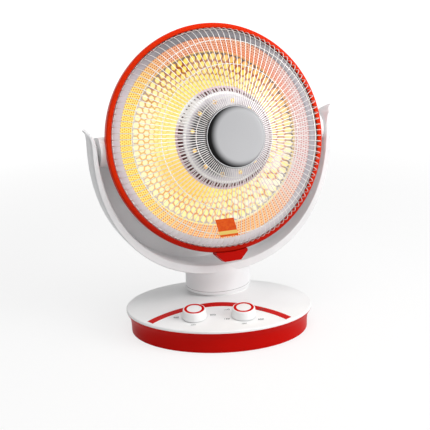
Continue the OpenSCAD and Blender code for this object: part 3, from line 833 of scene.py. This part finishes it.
@dataclass(frozen=True)
class CupMetal(Finish):
    """Bright pressed cup, pink near its rim, with painted light on its face, and painted shade on its
    inside, which shows through slots painted dark.
    """

    name: str = "cup_metal"
    wall_top_r: float = 73.0
    wall_top_z: float = 65.0
    face_rise: float = 13.0
    slots: int = 72
    holes: int = 12
    hole_r: float = 58.0
    silver: Tone = colour(222, 217, 225)
    pink: Tone = colour(226, 196, 206)
    streak: Tone = colour(160, 150, 162)
    # Painted light: shade on the right, a highlight ring, the disc's shadow, a glare and the glow round the
    # holes
    shade: Tone = colour(160, 144, 152)
    ring_highlight: Tone = colour(250, 248, 250)
    disc_shadow: Tone = colour(12, 9, 11)
    glare: Tone = colour(250, 250, 251)
    glow: Tone = colour(255, 206, 116)
    dark: Tone = colour(86, 32, 40)

    def inside(self, at: HeadPoint) -> Socket:
        """The cup's hidden side, which is painted dark as shade: behind its sloped wall or under its face.

        Args:
            at: the point on the head.

        Returns:
            1 on the hidden side, 0 elsewhere.
        """
        low_r = CUP_R - 2.4
        slope = (self.wall_top_r - low_r) / (self.wall_top_z - CUP_Z - 1.0)
        depth = (at.z - (CUP_Z + 1.0)) * slope + low_r - at.radius
        behind = depth.rise(0.35, 0.7) * (at.z - self.wall_top_z).fall(-0.6, 0.6)
        under = (at.z - (CUP_Z + self.face_rise)).fall(-0.2, 0.2)
        return behind.most(under * at.radius.fall(self.wall_top_r - 9.0, self.wall_top_r - 8.0))

    def paint(self, graph: Paint) -> None:
        """Adds the tints of the face from the rim inwards, with painted shade, a painted highlight ring, the
        disc's painted shadow, a painted glare and the painted glow of the holes, then the slots painted dark.

        Args:
            graph: the material's nodes.
        """
        at = HeadPoint(graph)
        radius = at.radius
        streaks = graph.noise(60, 4)
        right = at.across.rise(0.1, 0.8)
        wire = at.sector(GUARD_WIRES).size().rise(0.16, 0.3) * 0.15 + 0.85
        near = radius.fall(56.0, 68.0) * (at.toward(-0.95, -0.12).rise(0.0, 0.6) * 0.9 + 0.1)
        glare = at.toward(-0.77, 0.64).rise(0.9, 0.98)
        along, out = at.sector(self.holes) * (TURN * self.hole_r / self.holes), radius - self.hole_r
        # Painted light on the face: shade on the right, a highlight ring on the left, the disc's shadow
        # striped by the wires, a glare up on the left and the lamp's glow round the holes
        face = graph.mix(radius.rise(72.0, 79.0), self.silver, self.pink)
        for share, tint in (
                (streaks.rise(0.45, 0.7) * 0.4, self.streak),
                (right * 0.85, self.shade),
                (radius.band((66.5, 68.5), (70.0, 72.0)) * (1.0 - right), self.ring_highlight),
                (wire * near, self.disc_shadow),
                (glare * radius.rise(64.0, 70.0), self.glare),
                ((along * along + out * out).root().fall(3.2, 3.9), self.glow)):
            face = graph.mix(share, face, tint)
        # Slots painted dark as the shade inside the cup, except under the glare
        slot = at.sector(self.slots, 0.5).size().fall(0.28, 0.36)
        wall = (at.z - CUP_Z).band((1.6, 2.2), (9.2, 9.8))
        inside = self.inside(at).most(slot * wall * (1.0 - glare * 0.9))
        graph.set(Base_Color=graph.mix(inside, face, self.dark), Metallic=(1.0 - inside) * 0.15,
                  Roughness=streaks * 0.2 + 0.35)
        graph.bump(streaks, 0.0001)


@dataclass(frozen=True)
class DiscMetal(Finish):
    """Satin disc with a painted dark crescent of shade and reflection along its left shoulder."""

    name: str = "disc_metal"
    centre: tuple[float, float] = (7.2, 1.0)
    # Painted light: a faint gradient, a dark crescent, a highlight ring and a shadow line round the edge
    low: Tone = colour(178, 178, 180)
    high: Tone = colour(186, 186, 188)
    grey: Tone = colour(96, 96, 98)
    black: Tone = colour(6, 6, 7)
    ring_highlight: Tone = colour(226, 226, 228)
    edge: Tone = colour(96, 92, 96)

    def paint(self, graph: Paint) -> None:
        """Adds a painted dark crescent, which grows with the distance from a centre off to one side, over
        a faint painted gradient, and a painted highlight ring with a painted shadow line round the edge.

        Args:
            graph: the material's nodes.
        """
        at = HeadPoint(graph)
        dx, dy = at.x - self.centre[0], at.y - self.centre[1]
        off = (dx * dx + dy * dy).root()
        brushed = graph.noise(120, 4)
        # Painted light: a faint gradient across the face, a dark crescent of shade and reflection on the
        # left, and a highlight ring with a shadow line outside it
        pale = graph.mix((at.x * 0.5 - at.y * 0.86).rise(-44.0, 44.0), self.low, self.high)
        tone = graph.mix(off.rise(37.5, 46.0) * 0.8, pale, self.grey)
        tone = graph.mix(off.rise(43.0, 49.5), tone, self.black)
        ring_highlight = graph.mix(at.radius.rise(47.2, 47.7), self.ring_highlight, self.edge)
        graph.set(Base_Color=graph.mix(at.radius.rise(46.0, 46.6), tone, ring_highlight), Metallic=0.0,
                  Roughness=brushed * 0.1 + 0.55, Specular_IOR_Level=0.12)
        graph.bump(brushed, 0.00001)


@dataclass(frozen=True)
class NeckPlastic(Finish):
    """White plastic of the yoke, with a fine dark line round the neck's foot."""

    name: str = "neck_plastic"
    line_z: float = 58.4
    half: float = 0.45
    low: Tone = colour(232, 232, 233)
    high: Tone = colour(238, 238, 239)
    line: Tone = colour(120, 118, 116)

    def paint(self, graph: Paint) -> None:
        """Adds clouds and the dark line.

        Args:
            graph: the material's nodes.
        """
        line = (graph.local(WORLD)[2] - self.line_z).size().fall(self.half * 0.6, self.half)
        clouds = graph.noise(18, 4).rise(0.3, 0.7)
        graph.plastic(graph.mix(line * 0.8, graph.mix(clouds, self.low, self.high), self.line),
                      clouds * 0.06 + 0.35, 0.4)


@dataclass(frozen=True)
class RimPlastic(Finish):
    """Orange-red plastic of the rim, darker towards the bottom of the head with painted shade."""

    name: str = "rim_orange"
    high: Tone = colour(218, 42, 0)
    low: Tone = colour(178, 22, 4)

    def paint(self, graph: Paint) -> None:
        """Adds the painted shade at the bottom, and clouds to the roughness.

        Args:
            graph: the material's nodes.
        """
        # Painted shade: darker towards the bottom of the head
        low = (HeadPoint(graph).up * -1.0).rise(0.1, 0.95)
        clouds = graph.noise(18, 4).rise(0.3, 0.7)
        graph.plastic(graph.mix(low, self.high, self.low), clouds * 0.06 + 0.3, 0.06)


@dataclass(frozen=True)
class TagPaint(Finish):
    """Blank painted plate: deep orange with one pale band along its lower edge."""

    name: str = "tag_paint"
    low: Tone = colour(224, 78, 10)
    high: Tone = colour(232, 96, 18)
    band: Tone = colour(238, 206, 112)

    def paint(self, graph: Paint) -> None:
        """Adds the band, placed by the piece's own height coordinate, and wear.

        Args:
            graph: the material's nodes.
        """
        band = graph.uv()[1].band((0.11, 0.13), (0.31, 0.33))
        wear = graph.noise(220, 3).rise(0.4, 0.7)
        graph.set(Base_Color=graph.mix(band, graph.mix(wear, self.low, self.high), self.band),
                  Roughness=wear * 0.1 + 0.4, Specular_IOR_Level=0.2)
        graph.bump(graph.noise(900, 2), 0.00002)


WHITE = Moulded("white_plastic", colour(243, 243, 243), 0.34, 0.4)
RED = Moulded("red_plastic", colour(197, 12, 4), 0.36, 0.06)
CLIP_RED = Moulded("clip_red", colour(182, 10, 2), 0.36, 0.06)
INLAY_RED = Moulded("inlay_red", colour(204, 6, 2), 0.5, 0.02)
BLACK = Moulded("black_plastic", colour(30, 30, 32), 0.45)
PALE_GREY = Moulded("pale_grey_plastic", colour(206, 204, 204), 0.45, 0.3)
GREY_INK = Moulded("grey_ink", colour(84, 84, 86), 0.5, 0.1)
WIRE = Metal("plated_wire", colour(232, 230, 228), 0.3, 0.7)
STEEL = Metal("zinc_steel", colour(186, 188, 192), 0.34)
IRON = Metal("cast_iron", colour(84, 84, 86), 0.6)
BRASS = Metal("plain_brass", colour(206, 168, 92), 0.3)
# Painted shade: the hem behind the cup's slots is dark so that the slots look dark
HEM_SHADE = Dull("hem_painted_shade", colour(66, 16, 24), 0.6)
CERAMIC = Dull("white_ceramic", colour(236, 230, 214), 0.6)
RUBBER = Dull("foot_rubber", colour(34, 34, 34), 0.8)


def dress(piece: Piece, material: Material) -> None:
    """Gives a piece one material."""
    piece.data.materials.clear()
    piece.data.materials.append(material)


# Sub-assemblies

class Heater:
    """Shared context of the sub-assemblies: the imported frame, and the materials that the pieces share."""

    def __init__(self) -> None:
        """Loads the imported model."""
        self.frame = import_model()
        self._made: dict[str, Material] = {}

    def material(self, finish: Finish) -> Material:
        """The material of a finish, made once.

        Args:
            finish: the finish.

        Returns:
            Its material.
        """
        if finish.name not in self._made:
            self._made[finish.name] = finish.material()
        return self._made[finish.name]

    def add(self, piece: Piece, body: str, finish: Finish, slot: str, *nodes: str) -> None:
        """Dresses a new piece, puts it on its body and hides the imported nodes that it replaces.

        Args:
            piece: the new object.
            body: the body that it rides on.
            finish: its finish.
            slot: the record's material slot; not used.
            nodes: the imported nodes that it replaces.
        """
        dress(piece, self.material(finish))
        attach(piece, body)
        if nodes:
            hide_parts(*nodes)
        log.info("%s on %s, %d faces", piece.name, body, len(piece.data.polygons))

    def copy_node(self, node: str, body: str, finish: Finish, slot: str, sharp: float = 32.0) -> None:
        """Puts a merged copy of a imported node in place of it, smooth except at its sharp edges.

        Args:
            node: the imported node.
            body: the body that it rides on.
            finish: its finish.
            slot: the record's material slot.
            sharp: angle in degrees from which an edge stays sharp.
        """
        work = bmesh.new()
        work.from_mesh(self.frame["nodes"][node].data)
        bmesh.ops.remove_doubles(work, verts=work.verts, dist=WELD)
        for face in work.faces:
            face.smooth = True
        limit = math.radians(sharp)
        for edge in work.edges:
            edge.smooth = len(edge.link_faces) == 2 and edge.calc_face_angle(0.0) < limit
        mesh = bpy.data.meshes.new(node + "_moulding")
        work.to_mesh(mesh)
        work.free()
        self.add(linked(node + "_moulding", mesh), body, finish, slot, node)


@dataclass
class Base:
    """Oval base: skirt, cover, stripe and the marks round its dials."""

    heater: Heater
    number_size: float = 6.2
    word_size: float = 4.6
    mark_lift: float = 0.05
    mark_depth: float = 0.04
    left_marks: tuple[tuple[str, float, float], ...] = (
        ("400", -29.3, -0.7), ("OFF", -1.7, -26.0), ("800", 29.1, 4.0))
    right_marks: tuple[tuple[str, float, float], ...] = (
        ("150", -27.2, -10.4), ("300", -26.5, 20.0), ("OFF", -0.3, -26.6), ("450", 29.0, 17.2),
        ("600", 26.2, -14.7))

    def build(self) -> None:
        """Builds the base's pieces."""
        self.heater.copy_node("base_skirt", "base", RED, "red_plastic")
        self.heater.copy_node("base_cover", "base", WHITE, "white_plastic")
        self.heater.copy_node("accent_stripe", "base", RED, "red_plastic")
        for side, x, marks in (("left", -KNOB_X, self.left_marks), ("right", KNOB_X, self.right_marks)):
            for label, right, up in marks:
                self.mark(f"mark_{side}_{label}", label, panel(x), (right, up, self.mark_lift))

    def mark(self, name: str, label: str, place: Place, centre: Point) -> None:
        """Prints one plain label on the panel.

        Args:
            name: the piece's name.
            label: what it says.
            place: the panel's frame at a knob's axis.
            centre: the label's middle in that frame.
        """
        text = bpy.data.curves.new("mark", "FONT")
        text.body = label
        text.size = self.number_size if label.isdigit() else self.word_size
        text.align_x = "CENTER"
        text.align_y = "CENTER"
        text.extrude = self.mark_depth
        writer = linked("mark", text)
        bpy.context.view_layer.update()
        mesh = bpy.data.meshes.new_from_object(writer)
        bpy.data.objects.remove(writer)
        points = np.zeros(len(mesh.vertices) * 3, np.float32)
        mesh.vertices.foreach_get("co", points)
        store(mesh.vertices, "co", place.metres(points.reshape(-1, 3) + np.array(centre)))
        mesh.update()
        self.heater.add(linked(name, mesh), "base", GREY_INK, "black_plastic")


@dataclass
class Dial:
    """Round knob with a red ring let into its face."""

    heater: Heater
    body: str
    name: str
    x: float
    height: float = 14.3
    gap: float = 0.8
    foot_r: float = 20.0
    top_r: float = 17.9
    wall: float = 2.2
    roof: float = 5.0
    bore: float = 3.0
    hub: float = 2.5
    hub_z: float = 3.2
    ring_r: float = 16.1
    ring_w: float = 4.4
    ring_depth: float = 0.7

    def build(self) -> None:
        """Builds the knob's hollow cap, with its hub and ring groove, and the ring let into it."""
        inner, outer = self.ring_r - self.ring_w, self.ring_r
        top, hub_r = self.height, self.bore + self.hub
        roof, floor = top - self.roof, top - self.ring_depth
        cap = rounded([
            (0, top - 3, 0), (self.bore, top - 3, 0), (self.bore, self.hub_z, 0), (hub_r, self.hub_z, 0.4),
            (hub_r, roof, 0.6), (self.top_r - self.wall, roof, 1.2), (self.foot_r - self.wall, self.gap, 0.4),
            (self.foot_r, self.gap, 0.5), (self.top_r, top - 0.9, 0.8), (self.top_r - 1.0, top, 0.7),
            (outer + 0.2, top, 0), (outer, top, 0), (outer, top - 0.2, 0), (outer, floor, 0),
            (inner, floor, 0), (inner, top - 0.2, 0), (inner, top, 0), (inner - 0.2, top + 0.01, 0),
            (inner * 0.75, top + 0.13, 0), (inner * 0.4, top + 0.25, 0), (0, top + 0.3, 0)], 6, closed=False)
        ring = rounded([(inner + 0.05, floor, 0), (outer - 0.05, floor, 0), (outer - 0.05, top + 0.06, 0.15),
                        (inner + 0.05, top + 0.08, 0.15)], 3)
        self.heater.add(revolved(self.name + "_cap", cap, panel(self.x), 128, closed=False), self.body, WHITE,
                        "white_plastic", self.name)
        self.heater.add(revolved(self.name + "_inlay", ring, panel(self.x), 128), self.body, INLAY_RED,
                        "red_plastic", self.name + "_ring")


@dataclass
class Column:
    """Neck and yoke."""

    heater: Heater

    def build(self) -> None:
        """Builds the yoke."""
        self.heater.copy_node("yoke", "column", NeckPlastic(), "white_plastic", 40.0)


@dataclass
class Guard:
    """Domed wire guard: radial wires with a crown arc, a shoulder arc and a straight foot, and ring wires."""

    heater: Heater
    wire_r: float = 0.6
    sides: int = 8
    ring_steps: int = 224
    shoulder_r: float = 42.0
    foot_r: float = 174.25
    disc_r: float = 48.0
    disc_rise: float = 5.0
    overlap: float = 4.0
    rings: tuple[float, ...] = (62.0, 112.0, 151.0)

    def profile(self) -> np.ndarray:
        """Radius and height along one wire: crown arc, shoulder arc tangent to it, then straight down.

        Returns:
            Points with two columns.
        """
        centre_x = self.foot_r - self.shoulder_r
        centre_z = CROWN_Z + math.sqrt((CROWN_R - self.shoulder_r) ** 2 - centre_x ** 2)
        bend = math.acos(centre_x / (CROWN_R - self.shoulder_r))
        a = np.linspace(math.acos((self.disc_r - self.overlap) / CROWN_R), bend, 18)
        b = np.linspace(bend, 0, 12)[1:]
        return np.concatenate([arc((0, CROWN_Z), CROWN_R, a), arc((centre_x, centre_z), self.shoulder_r, b),
                               [[self.foot_r, FLANGE_Z]]])

    def build(self) -> None:
        """Builds the wires as one piece: closed tubes for the radial wires, and a torus for each ring."""
        line = self.profile()
        angle = ((np.arange(GUARD_WIRES) + 0.5) * TURN / GUARD_WIRES)[:, None]
        side = np.stack([-np.sin(angle), np.cos(angle), 0 * angle], axis=-1)
        path = spun(line[:, 0], line[:, 1], angle)
        tube = tube_points(path, side, self.wire_r, self.sides)
        tube = np.concatenate([np.broadcast_to(path[:, :1, None, :], tube[:, :1].shape), tube,
                               np.broadcast_to(path[:, -1:, None, :], tube[:, -1:].shape)], axis=1)
        points = [tube.reshape(-1, 3)]
        rows = tube.shape[1]
        starts = np.arange(GUARD_WIRES)[:, None, None] * rows * self.sides
        quads = [(grid_faces(rows, self.sides, wrap_cols=True)[None, :, :] + starts).reshape(-1, 4)]
        start = len(points[0])
        turns = (np.arange(self.ring_steps) * TURN / self.ring_steps)[:, None]
        around = np.arange(self.sides) * TURN / self.sides
        heights = [(r, crown_at(r) - 2 * self.wire_r - 0.15) for r in self.rings]
        heights.append((self.foot_r - 2 * self.wire_r - 0.1, FLANGE_Z + self.wire_r))
        for r, z in heights:
            section = arc((r, z), self.wire_r, around)
            points.append(spun(section[:, 0], section[:, 1], turns).reshape(-1, 3))
            quads.append(grid_faces(self.ring_steps, self.sides, True, True) + start)
            start += len(points[-1])
        placed = HEAD.metres(np.concatenate(points))
        piece = make_piece("guard_wires", placed, np.concatenate(quads), weld=True)
        self.heater.add(piece, "head", WIRE, "guard_wire", "guard_wires_right", "guard_wires_left",
                        "guard_rings")
        self.disc()

    def disc(self) -> None:
        """Builds the middle disc: a low dome with a rounded shoulder inside a thin raised edge."""
        z = crown_at(self.disc_r - self.overlap) + self.wire_r + 0.05
        r, rise = self.disc_r, self.disc_rise
        shoulder = [(r - 1.9 - 12.1 * t, z + rise * (0.3 + 0.62 * math.sqrt(t * (2 - t))), 0)
                    for t in np.linspace(0, 1, 9) ** 1.3]
        profile = rounded([
            (0, z, 0), (r - 0.4, z, 0), (r, z + 0.3, 0.2), (r, z + 1.6, 0.3), (r - 0.4, z + 2, 0.3),
            (r - 1.2, z + 2, 0.3), (r - 1.7, z + 1.2, 0.2), *shoulder, (r / 2, z + 0.97 * rise, 8),
            (0, z + rise, 0)], 4, closed=False)
        piece = revolved("guard_disc_plate", profile, HEAD, 160, closed=False)
        self.heater.add(piece, "head", DiscMetal(), "guard_disc", "guard_disc")


@dataclass
class Reflector:
    """Pressed reflector: flat flange, fine zone, step and a dish of hexagonal dimples."""

    heater: Heater
    dish_z: float = 19.0
    depth: float = 46.0
    inner: float = 22.0
    sheet: float = 0.8
    around: int = 720
    dimples: int = 72
    dimpled_r: float = 66.0
    first_pitch: float = 11.5
    shrink: float = 0.925
    dimple_depth: float = 1.5

    def dish_at(self, r: np.ndarray) -> np.ndarray:
        """Height of the plain dish at a radius: a parabola below the step."""
        return self.dish_z - 3 - self.depth * (1 - (r / STEP_R) ** 2)

    def front(self) -> tuple[np.ndarray, np.ndarray]:
        """Radius and height of the front surface's rows, from the rim inwards.

        Returns:
            The radii and the heights.
        """
        slope = np.linspace((FLANGE_R - 1.5, FLANGE_Z - 1.5), (STEP_R, self.dish_z), 8)
        rows = np.array([(SHELL_R, FLANGE_Z), (FLANGE_R + 1, FLANGE_Z), (FLANGE_R, FLANGE_Z - 0.3), *slope,
                         (STEP_R - 0.3, self.dish_z - 1.2), (STEP_R - 0.6, self.dish_z - 3)])
        dish_r = np.concatenate([np.linspace(STEP_R - 1.5, self.dimpled_r + 2, 88),
                                 np.linspace(self.dimpled_r, self.inner, 9)])
        return np.concatenate([rows[:, 0], dish_r]), np.concatenate([rows[:, 1], self.dish_at(dish_r)])

    def dimple(self, r: np.ndarray, angle: np.ndarray) -> np.ndarray:
        """Share of the way from the middle of a hexagonal dimple to its border.

        The cell's own coordinates are the row's share across and the share of the pitch along it, with every
        other row shifted by half a pitch; the distance to the border is the hexagon's.

        Args:
            r: radius of each point, as a column.
            angle: angle of each point, as a row.

        Returns:
            The share, which is 0 outside the dimpled zone.
        """
        inward = np.clip(STEP_R - 3 - r, 0, 72)
        row = np.log(1 - inward * (1 - self.shrink) / self.first_pitch) / math.log(self.shrink) - 0.5
        best = np.full(np.broadcast(r, angle).shape, 9.0)
        for k in (0, 1):
            index = np.floor(row) + k
            u = angle / (TURN / self.dimples) + 0.5 * np.mod(index, 2)
            du, dv = np.abs(u - np.round(u)), np.abs(row - index)
            best = np.minimum(best, np.maximum(du * 2, du + dv * 1.5))
        return np.where((r < STEP_R - 2) & (r > self.dimpled_r), np.clip(best, 0, 1), 0)

    def build(self) -> None:
        """Builds the sheet as one closed piece: the dimpled front, and a plainer back behind it."""
        r, z = self.front()
        angle = np.arange(self.around) * TURN / self.around
        cell = self.dimple(r[:, None], angle[None, :])
        back_r = np.array([self.inner, 60, 90, 120, STEP_R - 0.6, STEP_R, FLANGE_R - 1.5, FLANGE_R, SHELL_R])
        back_z = np.array([*self.dish_at(back_r[:5]), self.dish_z, FLANGE_Z - 1.5, FLANGE_Z, FLANGE_Z])
        back_z -= self.sheet
        back_z[1:4] -= self.dimple_depth
        all_r = np.concatenate([r, back_r])
        all_z = np.concatenate([z[:, None] - self.dimple_depth * cell ** 3,
                                np.repeat(back_z[:, None], self.around, axis=1)])
        local = spun(all_r[:, None], all_z, angle)
        quads = grid_faces(len(all_r), self.around, True, True)
        rows, cols = quads // self.around, quads % self.around
        seam = (cols == 0) & (cols.max(axis=1, keepdims=True) == self.around - 1)
        uv = np.stack([np.where(seam, 1.0, cols / self.around), all_r[rows] / SHELL_R], axis=-1)
        cells = np.concatenate([cell, np.zeros((len(back_r), self.around))])
        front = np.repeat(np.arange(len(all_r)) < len(r), self.around).astype(float)
        piece = make_piece("reflector_sheet", HEAD.metres(local.reshape(-1, 3)), quads, uv,
                           cell=cells, front=front)
        self.heater.add(piece, "head", LitReflector(), "reflector_metal", "reflector")


@dataclass
class Head:
    """Rim, clip, shell, tag and shield cup."""

    heater: Heater
    rim_r: float = 183.0
    rim_w: float = 8.0
    rim_low: float = 19.0
    rim_high: float = 33.0
    seat: float = 0.1
    tag_r: float = 139.0
    tag_turn: float = -8.5
    tag_lift: float = 1.2
    tag_t: float = 0.8
    tag_across: Point = (29.1, 4.4, 0.0)
    tag_down: Point = (14.0, -30.0, 0.0)
    hem_t: float = 0.8
    hem_drop: float = 2.2
    hem_gap: float = 3.7
    hem_w: float = 11.3

    def rim(self) -> None:
        """Builds the rim: a hoop with a rounded crest and a rebate for the flange."""
        inner, shell, ledge = self.rim_r - self.rim_w, SHELL_R + self.seat, FLANGE_Z + self.seat
        profile = rounded([
            (shell, self.rim_low, 0), (self.rim_r, self.rim_low, 1.2), (self.rim_r, self.rim_high, 3.4),
            (inner, self.rim_high, 2.6), (inner, ledge, 0), (shell, ledge, 0)], 9)
        hoop = revolved("rim_hoop", profile, HEAD, 256)
        self.heater.add(hoop, "head", RimPlastic(), "rim_orange", "rim_ring")

    def tag(self) -> None:
        """Builds the blank tag: a thin plate whose sides lean as it hangs on the wires."""
        slope = math.degrees(math.asin(self.tag_r / CROWN_R))
        turned = HEAD.then((0, 0, 0), turn(Axis.Z, self.tag_turn))
        place = turned.then((0, -self.tag_r, crown_at(self.tag_r) + self.tag_lift), turn(Axis.X, slope))
        ways = np.array([self.tag_across, self.tag_down])
        flat = np.array([(-0.5, 0.5), (0.5, 0.5), (0.5, -0.5), (-0.5, -0.5)]) @ ways
        points = np.concatenate([flat, flat + np.array([0, 0, self.tag_t])])
        quads = np.array([[3, 2, 1, 0], [4, 5, 6, 7], [0, 1, 5, 4], [1, 2, 6, 5], [2, 3, 7, 6], [3, 0, 4, 7]])
        uv = np.array([(0, 0), (1, 0), (1, 1), (0, 1)] * 2, float)[quads]
        piece = make_piece("blank_tag", place.metres(points), quads, uv)
        for face in piece.data.polygons:
            face.use_smooth = False
        self.heater.add(piece, "head", TagPaint(), "tag_orange", "heat_tag")

    def hem(self) -> None:
        """Builds the hem turned in behind the cup's slots, dark with painted shade so that the slots look
        dark.
        """
        low, outer = CUP_Z - self.hem_drop, CUP_R - self.hem_gap
        high, inner = low + self.hem_t, outer - self.hem_w
        profile = rounded([(outer, low, 0), (outer, high, 0), (inner, high, 0), (inner, low, 0)], 2)
        self.heater.add(revolved("cup_hem", profile, HEAD, 144), "head", HEM_SHADE, "guard_disc")

    def build(self) -> None:
        """Builds the head's pieces."""
        self.rim()
        self.heater.copy_node("rim_clip", "head", CLIP_RED, "red_plastic")
        self.heater.copy_node("rear_shell", "head", WHITE, "white_plastic")
        self.heater.copy_node("shield_cup", "head", CupMetal(), "guard_disc")
        self.tag()
        self.hem()


@dataclass
class Dressing:
    """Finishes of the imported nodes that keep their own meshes."""

    heater: Heater
    finishes: tuple[tuple[Finish, str], ...] = (
        (BLACK, "base_plate cord_gland tilt_switch mode_switch heat_switch swivel_bush thermal_cutout"),
        (STEEL, "base_screws mode_shaft heat_shaft swivel_spigot spigot_screws retaining_washer circlip"),
        (STEEL, "pivot_pins clip_screw cup_post cup_nut"),
        (PALE_GREY, "pivot_bushes friction_washers"),
        (CERAMIC, "terminal_block lamp_holders"),
        (IRON, "ballast_plate"),
        (RUBBER, "foot_strip"),
        (BRASS, "switch_nuts"),
        (Quartz(), "carbon_lamp"),
        (Ember(), "lamp_filament"),
    )

    def build(self) -> None:
        """Dresses each node that is still shown."""
        finish_of = {name: finish for finish, names in self.finishes for name in names.split()}
        for name, node in self.heater.frame["nodes"].items():
            if not node.hide_render:
                dress(node, self.heater.material(finish_of.get(name, WHITE)))
                log.info("%s dressed", name)


@dataclass
class Studio:
    """Pale floor, soft lamps and the camera at the photograph's view."""

    eye: Point = (0.0, -1.2671, 0.6007)
    aim: Point = (0.0, 0.0504, 0.2461)
    roll: float = 1.8546
    focal_px: float = 830.57
    centre_px: tuple[float, float] = (214.607, 174.494)
    frame_px: float = 430.0
    sensor: float = 36.0
    nearest: float = 0.05
    lamps: tuple[tuple[str, Point, float, float], ...] = (
        ("key_lamp", (1.9, -0.7, 1.0), 29.0, 1.2),
        ("fill_lamp", (0.1, -2.2, 0.9), 6.0, 1.4),
        ("top_lamp", (0.2, -0.4, 1.9), 15.0, 1.2))
    lamp_aim: Point = (0.0, 0.0, 0.25)
    ambient: float = 0.34
    bright: Tone = (1.0, 1.0, 1.0)
    floor_half: float = 40.0
    floor_tone: float = 0.62
    floor_glow: float = 1.2

    def camera(self) -> None:
        """Creates the camera from the fitted position, aim, roll and focal length."""
        ahead = (Vector(self.aim) - Vector(self.eye)).normalized()
        right = ahead.cross(Vector((0, 0, 1))).normalized()
        up = right.cross(ahead)
        c, s = math.cos(math.radians(self.roll)), math.sin(math.radians(self.roll))
        data = bpy.data.cameras.new("view")
        data.sensor_width = self.sensor
        data.lens = self.focal_px / self.frame_px * self.sensor
        data.shift_x = (self.frame_px / 2 - self.centre_px[0]) / self.frame_px
        data.shift_y = (self.centre_px[1] - self.frame_px / 2) / self.frame_px
        data.clip_start = self.nearest
        view = linked("view", data)
        basis = Matrix((right * c - up * s, up * c + right * s, -ahead)).transposed().to_4x4()
        view.matrix_world = Matrix.Translation(Vector(self.eye)) @ basis
        bpy.context.scene.camera = view

    def light(self) -> None:
        """Creates the area lamps, and a world that lights evenly and looks white."""
        for name, at, power, size in self.lamps:
            data = bpy.data.lights.new(name, "AREA")
            data.energy = power
            data.size = size
            lamp = linked(name, data)
            lamp.location = at
            lamp.rotation_euler = (Vector(self.lamp_aim) - Vector(at)).to_track_quat("-Z", "Y").to_euler()
        world = bpy.data.worlds.new("studio")
        world.use_nodes = True
        sky = Graph(world.node_tree, "OutputWorld")
        plain, white = (sky.value("Background", {0: self.bright, 1: power}) for power in (self.ambient, 1.0))
        sky.surface(sky.value("MixShader", {0: sky.seen(), 1: plain, 2: white}))
        bpy.context.scene.world = world

    def floor(self) -> None:
        """Creates the floor: white to the camera, with the object's soft shadow, which fades out far away."""
        half = self.floor_half
        points = np.array([[-half, -half, 0], [half, -half, 0], [half, half, 0], [-half, half, 0]])
        piece = make_piece("floor", points, np.array([[0, 1, 2, 3]]))
        graph = Paint("floor_white")
        graph.set(Base_Color=(self.floor_tone, self.floor_tone, self.floor_tone), Roughness=0.9)
        x, y, _ = graph.local(WORLD)
        far = (x * x + y * y).root().rise(500.0, 2500.0)
        share = graph.seen() * (far * (1.0 - self.floor_tone) + self.floor_tone)
        glow = graph.value("Emission", {0: self.bright, 1: self.floor_glow})
        graph.surface(graph.value("MixShader", {0: share, 1: graph.coat, 2: glow}))
        dress(piece, graph.material)

    def build(self) -> None:
        """Builds the studio."""
        self.camera()
        self.light()
        self.floor()
        bpy.context.scene.view_settings.view_transform = "Standard"


def corners(box: tuple) -> list[list[float]]:
    """Plain lists of a box's two corners."""
    return [[float(v) for v in corner] for corner in box]


def main() -> None:
    """Builds the heater from its sub-assemblies, then the studio."""
    logging.basicConfig(level=logging.INFO, format="%(name)s: %(message)s")
    heater = Heater()
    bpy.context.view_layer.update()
    Base(heater).build()
    Dial(heater, "left_dial", "mode_knob", -KNOB_X).build()
    Dial(heater, "right_dial", "heat_knob", KNOB_X).build()
    Column(heater).build()
    Head(heater).build()
    Reflector(heater).build()
    Guard(heater).build()
    Dressing(heater).build()
    Studio().build()


if __name__ == "__main__":
    main()
